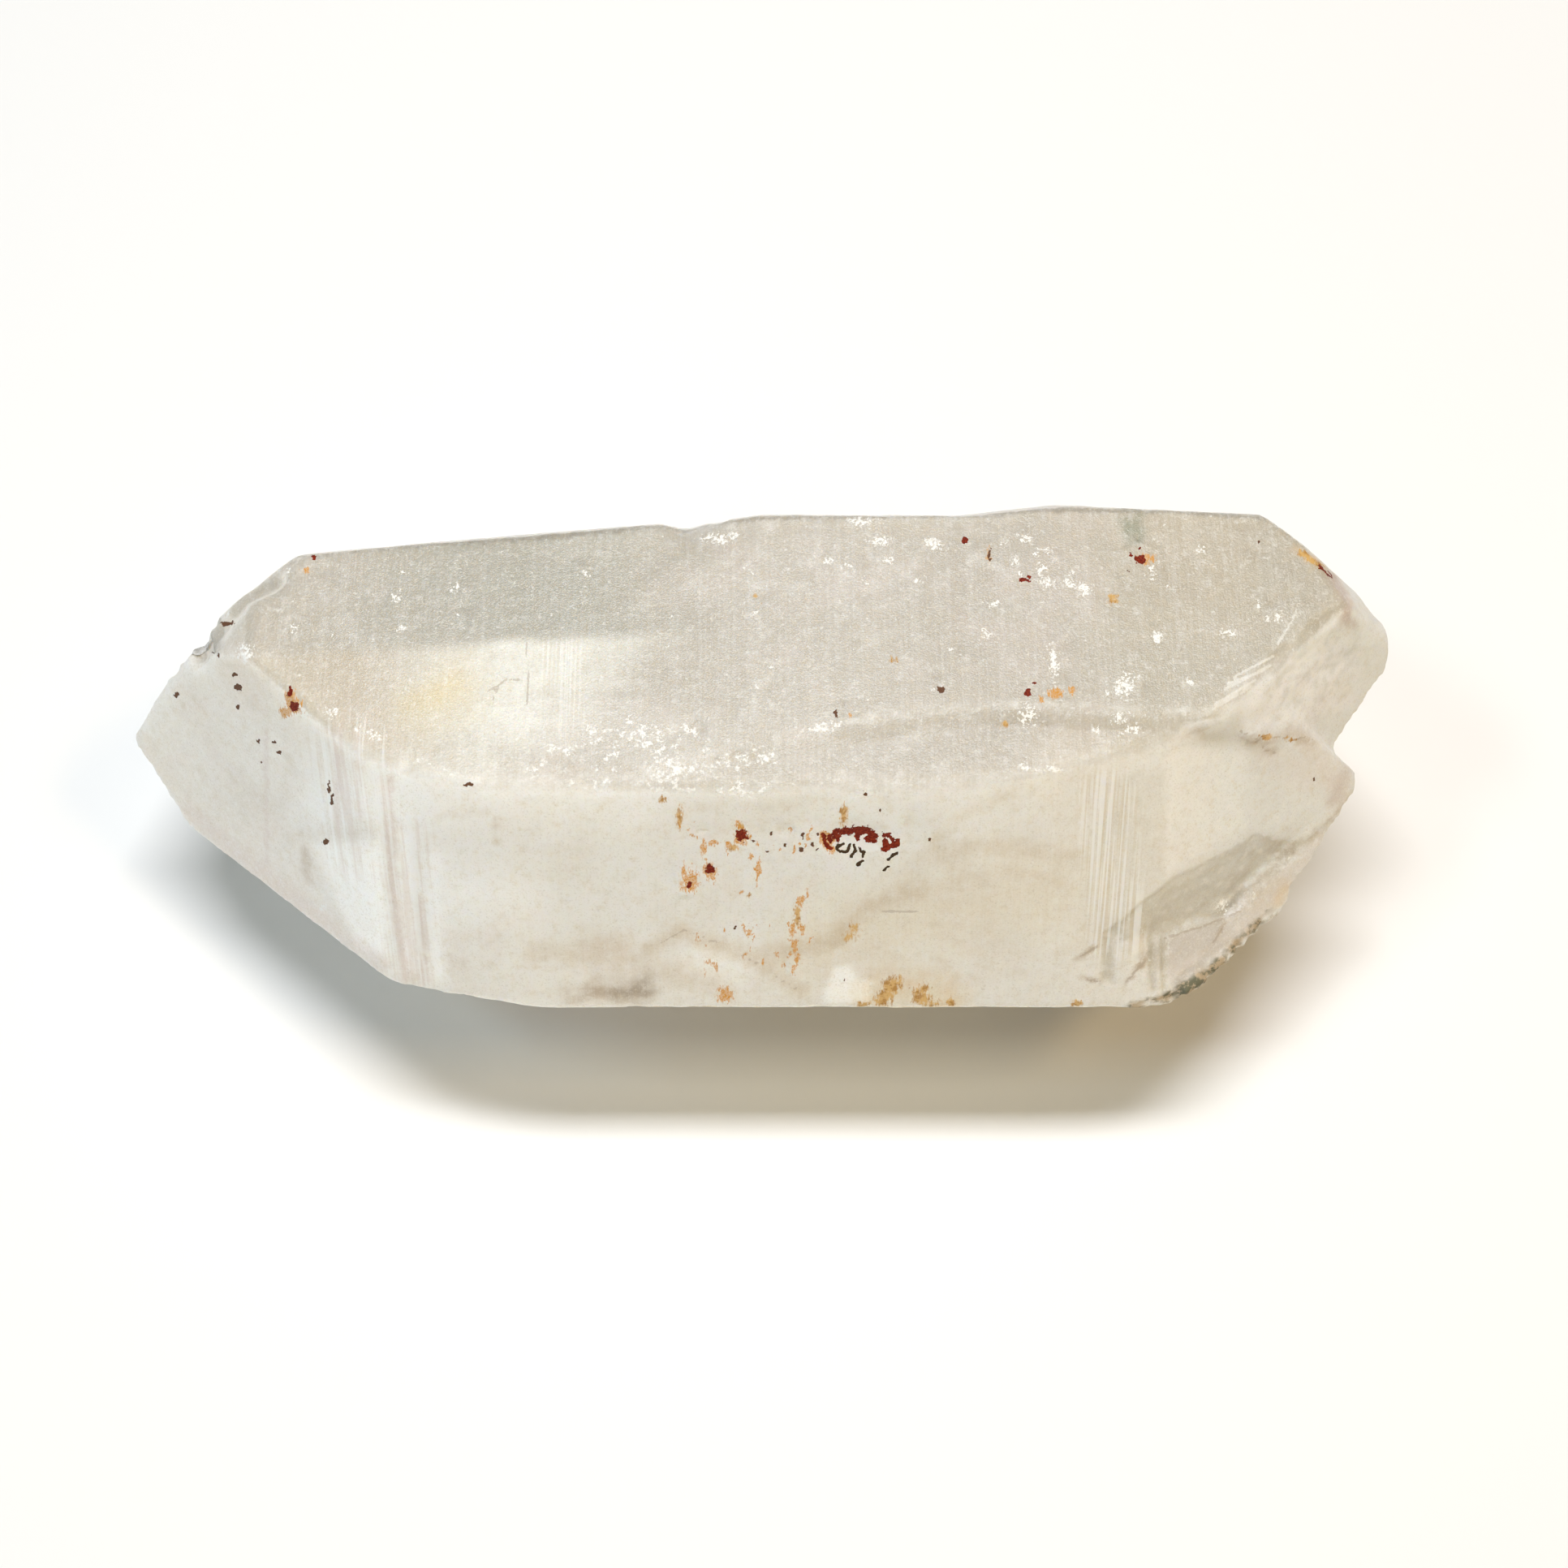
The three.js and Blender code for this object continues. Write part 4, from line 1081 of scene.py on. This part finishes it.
# The colour: the broad tone, its grain and growth stripes, then one kind of mark over another.
colour = Shade.node("Attribute", {"attribute_name": "tone"}, output="Vector")
colour = tint(colour, WHITE, broken.above(0.50, 0.75) * 0.40)
colour = tint(colour, STRIPE_BEIGE, broken.below(0.28, 0.50) * 0.35)
colour = tint(colour, WHITE, grain_fine.above(0.50, 0.75) * 0.45)
colour = tint(colour, GRAIN_DARK, grain_fine.below(0.28, 0.46) * 0.42)
colour = tint(colour, STRIPE_PINK, stripes_left * lines.below(0.36, 0.50) * 0.42)
colour = tint(colour, WHITE, stripes_left * lines.above(0.51, 0.62) * 0.65)
colour = tint(colour, WHITE, stripes_right * fine_lines.above(0.52, 0.59))
colour = tint(colour, STRIPE_BEIGE, stripes_right * fine_lines.below(0.40, 0.48) * 0.45)
colour = tint(colour, CHIP_WHITE, white_marks * 0.9)
colour = tint(colour, WHITE, mask("ring_core") * 0.9)
colour = tint(colour, CRACK_GREY, cracks * 0.5)
colour = tint(colour, OCHRE, ochre_spots * 0.85)
colour = tint(colour, OCHRE_DEEP, ochre_spots * broken.above(0.46, 0.60) * 0.75)
colour = tint(colour, ORANGE, orange_spots * (0.6 + grain_fine.above(0.4, 0.6) * 0.4))
colour = tint(colour, RUST, rust_spots)
colour = tint(colour, RUST_BRIGHT, rust_spots * grain_fine.above(0.46, 0.57) * 0.9)
colour = tint(colour, DARK_SPECK, dark_spots)
colour = tint(colour, NEAR_BLACK, black_spots)
colour = tint(colour, CRUST_BROWN, crust * 0.9)
colour = tint(colour, CRUST_GREEN, crust * broken.above(0.42, 0.58) * 0.85)
bumps = Shade.node("Bump", None, {"Strength": BUMP_STRENGTH, "Distance": BUMP_HEIGHT,
                                  "Height": satin + broken * 2.5}, output="Normal")

# Under the skin the stone is a mix of milky quartz, which scatters light, and clear quartz,
# which lets it through. Its dry skin is seen over that, and is all that shows of a stain or chip.
milky = quartz_tree.nodes["Principled BSDF"]
stains = rust_spots.strongest(black_spots, dark_spots * 0.5)
milky_values = {"Base Color": colour, "Roughness": MILKY_ROUGHNESS - stains * STAIN_SHINE,
                "IOR": QUARTZ_IOR, "Subsurface Weight": 1.0, "Subsurface Radius": MILKY_RADIUS,
                "Subsurface Scale": MILKY_DEPTH, "Normal": bumps}
for key, value in milky_values.items():
    if isinstance(value, Shade):
        quartz_tree.links.new(value.socket, milky.inputs[key])
    else:
        milky.inputs[key].default_value = value
clear = Shade.node("BsdfPrincipled", None, {"Base Color": CLEAR_TINT, "Roughness": CLEAR_ROUGHNESS,
                                            "IOR": QUARTZ_IOR, "Transmission Weight": 1.0,
                                            "Normal": bumps})
opaque = white_marks.strongest(stains, crust, dark_spots, orange_spots, ochre_spots)
inner = Shade.node("MixShader", None, {"Fac": mask("see_through"), 1: Shade(milky.outputs[0]), 2: clear})
dry_skin = Shade.node("BsdfPrincipled", None, {"Base Color": colour, "Roughness": SKIN_ROUGHNESS,
                                               "IOR": QUARTZ_IOR, "Specular IOR Level": SKIN_SPECULAR,
                                               "Normal": bumps})
skin_share = SKIN_SHARE + opaque * (1 - SKIN_SHARE)
finish = Shade.node("MixShader", None, {"Fac": skin_share, 1: inner, 2: dry_skin})
output = quartz_tree.nodes["Material Output"]
quartz_tree.links.new(finish.socket, output.inputs["Surface"])
absorption = Shade.node("VolumeAbsorption", None, {"Color": ABSORBED_TINT, "Density": ABSORPTION})
quartz_tree.links.new(absorption.socket, output.inputs["Volume"])
stone_mesh.materials.clear()
stone_mesh.materials.append(quartz)

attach(stone, "root")
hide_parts("quartz_crystal")
